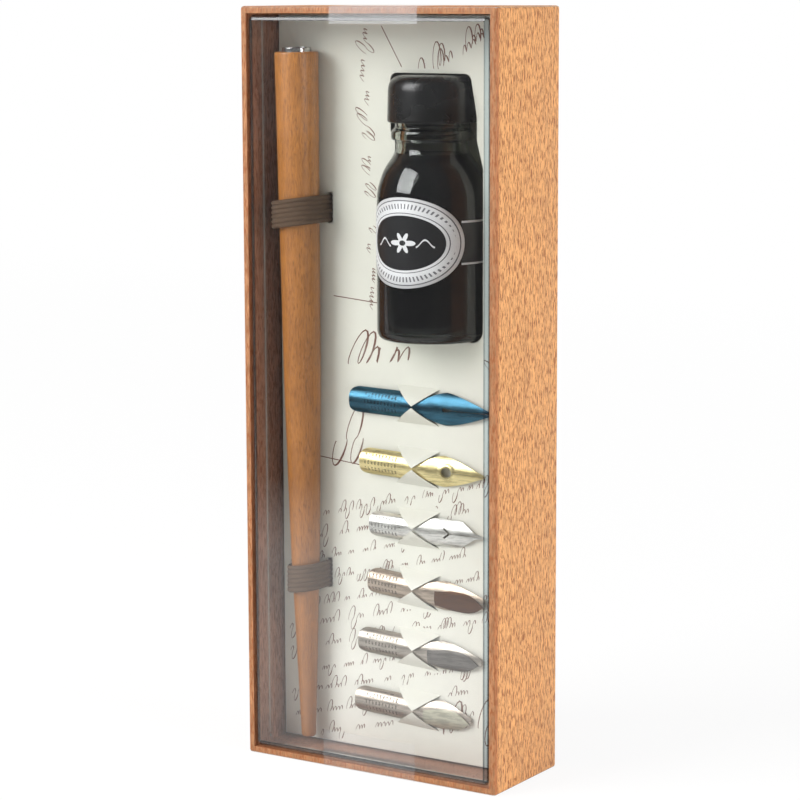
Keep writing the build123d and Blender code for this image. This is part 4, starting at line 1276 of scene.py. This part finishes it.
# ------------------------------------------------------------------ stage
class MakeStage(bpy.types.Operator):
    """Set the floor, lamps and camera"""

    bl_idname = "calligraphy_set.make_stage"
    bl_label = "Stage"

    def execute(self, context):
        settings = context.scene.calligraphy_stage
        scene = context.scene
        scene.view_settings.view_transform = "Standard"
        self.floor(settings)
        self.lamp("key_lamp", (-0.75, -1.15, 0.92), (0.0, 0.0, 0.05), 1.0, settings.key)
        self.lamp("fill_lamp", (1.6, -0.2, 0.55), (0.0, 0.0, 0.05), 0.8, settings.fill)
        self.world(scene, settings)
        self.camera(scene)
        return {"FINISHED"}

    def floor(self, settings):
        bm = bmesh.new()
        verts = [bm.verts.new((-9, y, z)) for y, z in ((-9, 0), (6, 0), (6, 9))]
        edges = [bm.edges.new(pair) for pair in zip(verts, verts[1:])]
        grown = bmesh.ops.extrude_edge_only(bm, edges=edges)
        bmesh.ops.translate(bm, vec=(18, 0, 0), verts=parts_of(grown, BMVert))
        floor = new_object("floor", mesh_of("floor", bm))
        floor.data.materials.append(self.pale_floor(settings))

    def pale_floor(self, settings):
        """White to the camera but for its shadows. Mirrored, it is white near the box and dark far off."""
        finish = Finish("pale_floor")
        finish.set(colour=settings.floor, rough=0.9, shine=0.0)
        y = finish.split(finish.place())[1]
        table = finish.ramp(finish.maths("MULTIPLY_ADD", y, 5.0, 1.5), [(0.2, 0.05), (0.7, 1.0)])
        path = finish.node("ShaderNodeLightPath")
        glow = finish.node("ShaderNodeEmission")
        glossy = path.outputs["Is Glossy Ray"]
        finish.link(finish.mix(glossy, (1.0, 1.0, 1.0), table), glow.inputs["Color"])
        far = finish.maths("MULTIPLY_ADD", finish.maths("ABSOLUTE", y), 0.1, 0.9, clamp=True)
        seen = finish.maths("MAXIMUM", finish.times(path.outputs["Is Camera Ray"], far), glossy)
        seen = finish.maths("MAXIMUM", seen, finish.times(path.outputs["Is Transmission Ray"], 0.7))
        finish.finish_with(finish.blend(seen, finish.shader, glow))
        return finish.material

    def lamp(self, name, place, target, size, power):
        data = bpy.data.lights.new(name, "AREA")
        data.shape, data.size, data.energy = "SQUARE", size, power
        lamp = new_object(name, data)
        lamp.location = place
        lamp.rotation_euler = (Vector(target) - Vector(place)).to_track_quat("-Z", "Y").to_euler()

    def world(self, scene, settings):
        """Even light from all round, which mirrors show darker than it is."""
        world = bpy.data.worlds.new("studio_air")
        scene.world = world
        world.use_nodes = True
        tree = world.node_tree
        background = tree.nodes["Background"]
        path = tree.nodes.new("ShaderNodeLightPath")
        tone = tree.nodes.new("ShaderNodeMix")
        tone.data_type = "RGBA"
        tone.inputs[6].default_value = (1.0, 1.0, 1.0, 1.0)
        tone.inputs[7].default_value = (0.28, 0.285, 0.3, 1.0)
        tree.links.new(path.outputs["Is Glossy Ray"], tone.inputs[0])
        tree.links.new(tone.outputs[2], background.inputs["Color"])
        background.inputs["Strength"].default_value = settings.air

    def camera(self, scene):
        """The photograph's viewpoint, as fitted to the corners of the box."""
        data = bpy.data.cameras.new("camera")
        data.sensor_width, data.lens = 36.0, 119.80
        camera = new_object("camera", data)
        yaw, pitch, roll = 0.5693551, 0.1547439, -0.003488
        turn = Matrix.Rotation(yaw, 4, "Z") @ Matrix.Rotation(math.pi / 2 - pitch, 4, "X")
        turn = turn @ Matrix.Rotation(roll, 4, "Z")
        camera.matrix_world = Matrix.Translation((0.3633636, -0.5675312, 0.2001652)) @ turn
        scene.camera = camera


# ------------------------------------------------------------------ add-on
class CalligraphySetPanel(bpy.types.Panel):
    """Lists the pieces of the set in the order they are made"""

    bl_idname = "VIEW3D_PT_calligraphy_set"
    bl_label = "Calligraphy Set"
    bl_space_type = "VIEW_3D"
    bl_region_type = "UI"
    bl_category = "Calligraphy Set"

    def draw(self, context):
        for maker in MAKERS:
            self.layout.operator(maker.bl_idname)
        for name in SETTINGS:
            box = self.layout.box()
            settings = getattr(context.scene, name)
            for prop in settings.bl_rna.properties:
                if prop.identifier not in {"rna_type", "name"}:
                    box.prop(settings, prop.identifier)


SETTINGS = {
    "calligraphy_box": BoxSettings,
    "calligraphy_card": CardSettings,
    "calligraphy_holder": HolderSettings,
    "calligraphy_bottle": BottleSettings,
    "calligraphy_cover": CoverSettings,
    "calligraphy_nibs": NibSettings,
    "calligraphy_stage": StageSettings,
}
MAKERS = [
    MakeStage, MakeBox, MakeCard, MakeElastics, MakeHolder,
    MakeBottle, MakeLabel, MakeCap, MakeCover, MakeNibs,
]
CLASSES = [*SETTINGS.values(), *MAKERS, CalligraphySetPanel]


def register():
    for cls in CLASSES:
        bpy.utils.register_class(cls)
    for name, settings in SETTINGS.items():
        setattr(bpy.types.Scene, name, PointerProperty(type=settings))


def unregister():
    for name in SETTINGS:
        delattr(bpy.types.Scene, name)
    for cls in reversed(CLASSES):
        bpy.utils.unregister_class(cls)


def main():
    register()
    for maker in MAKERS:
        group, name = maker.bl_idname.split(".")
        getattr(getattr(bpy.ops, group), name)()


if __name__ == "__main__":
    main()
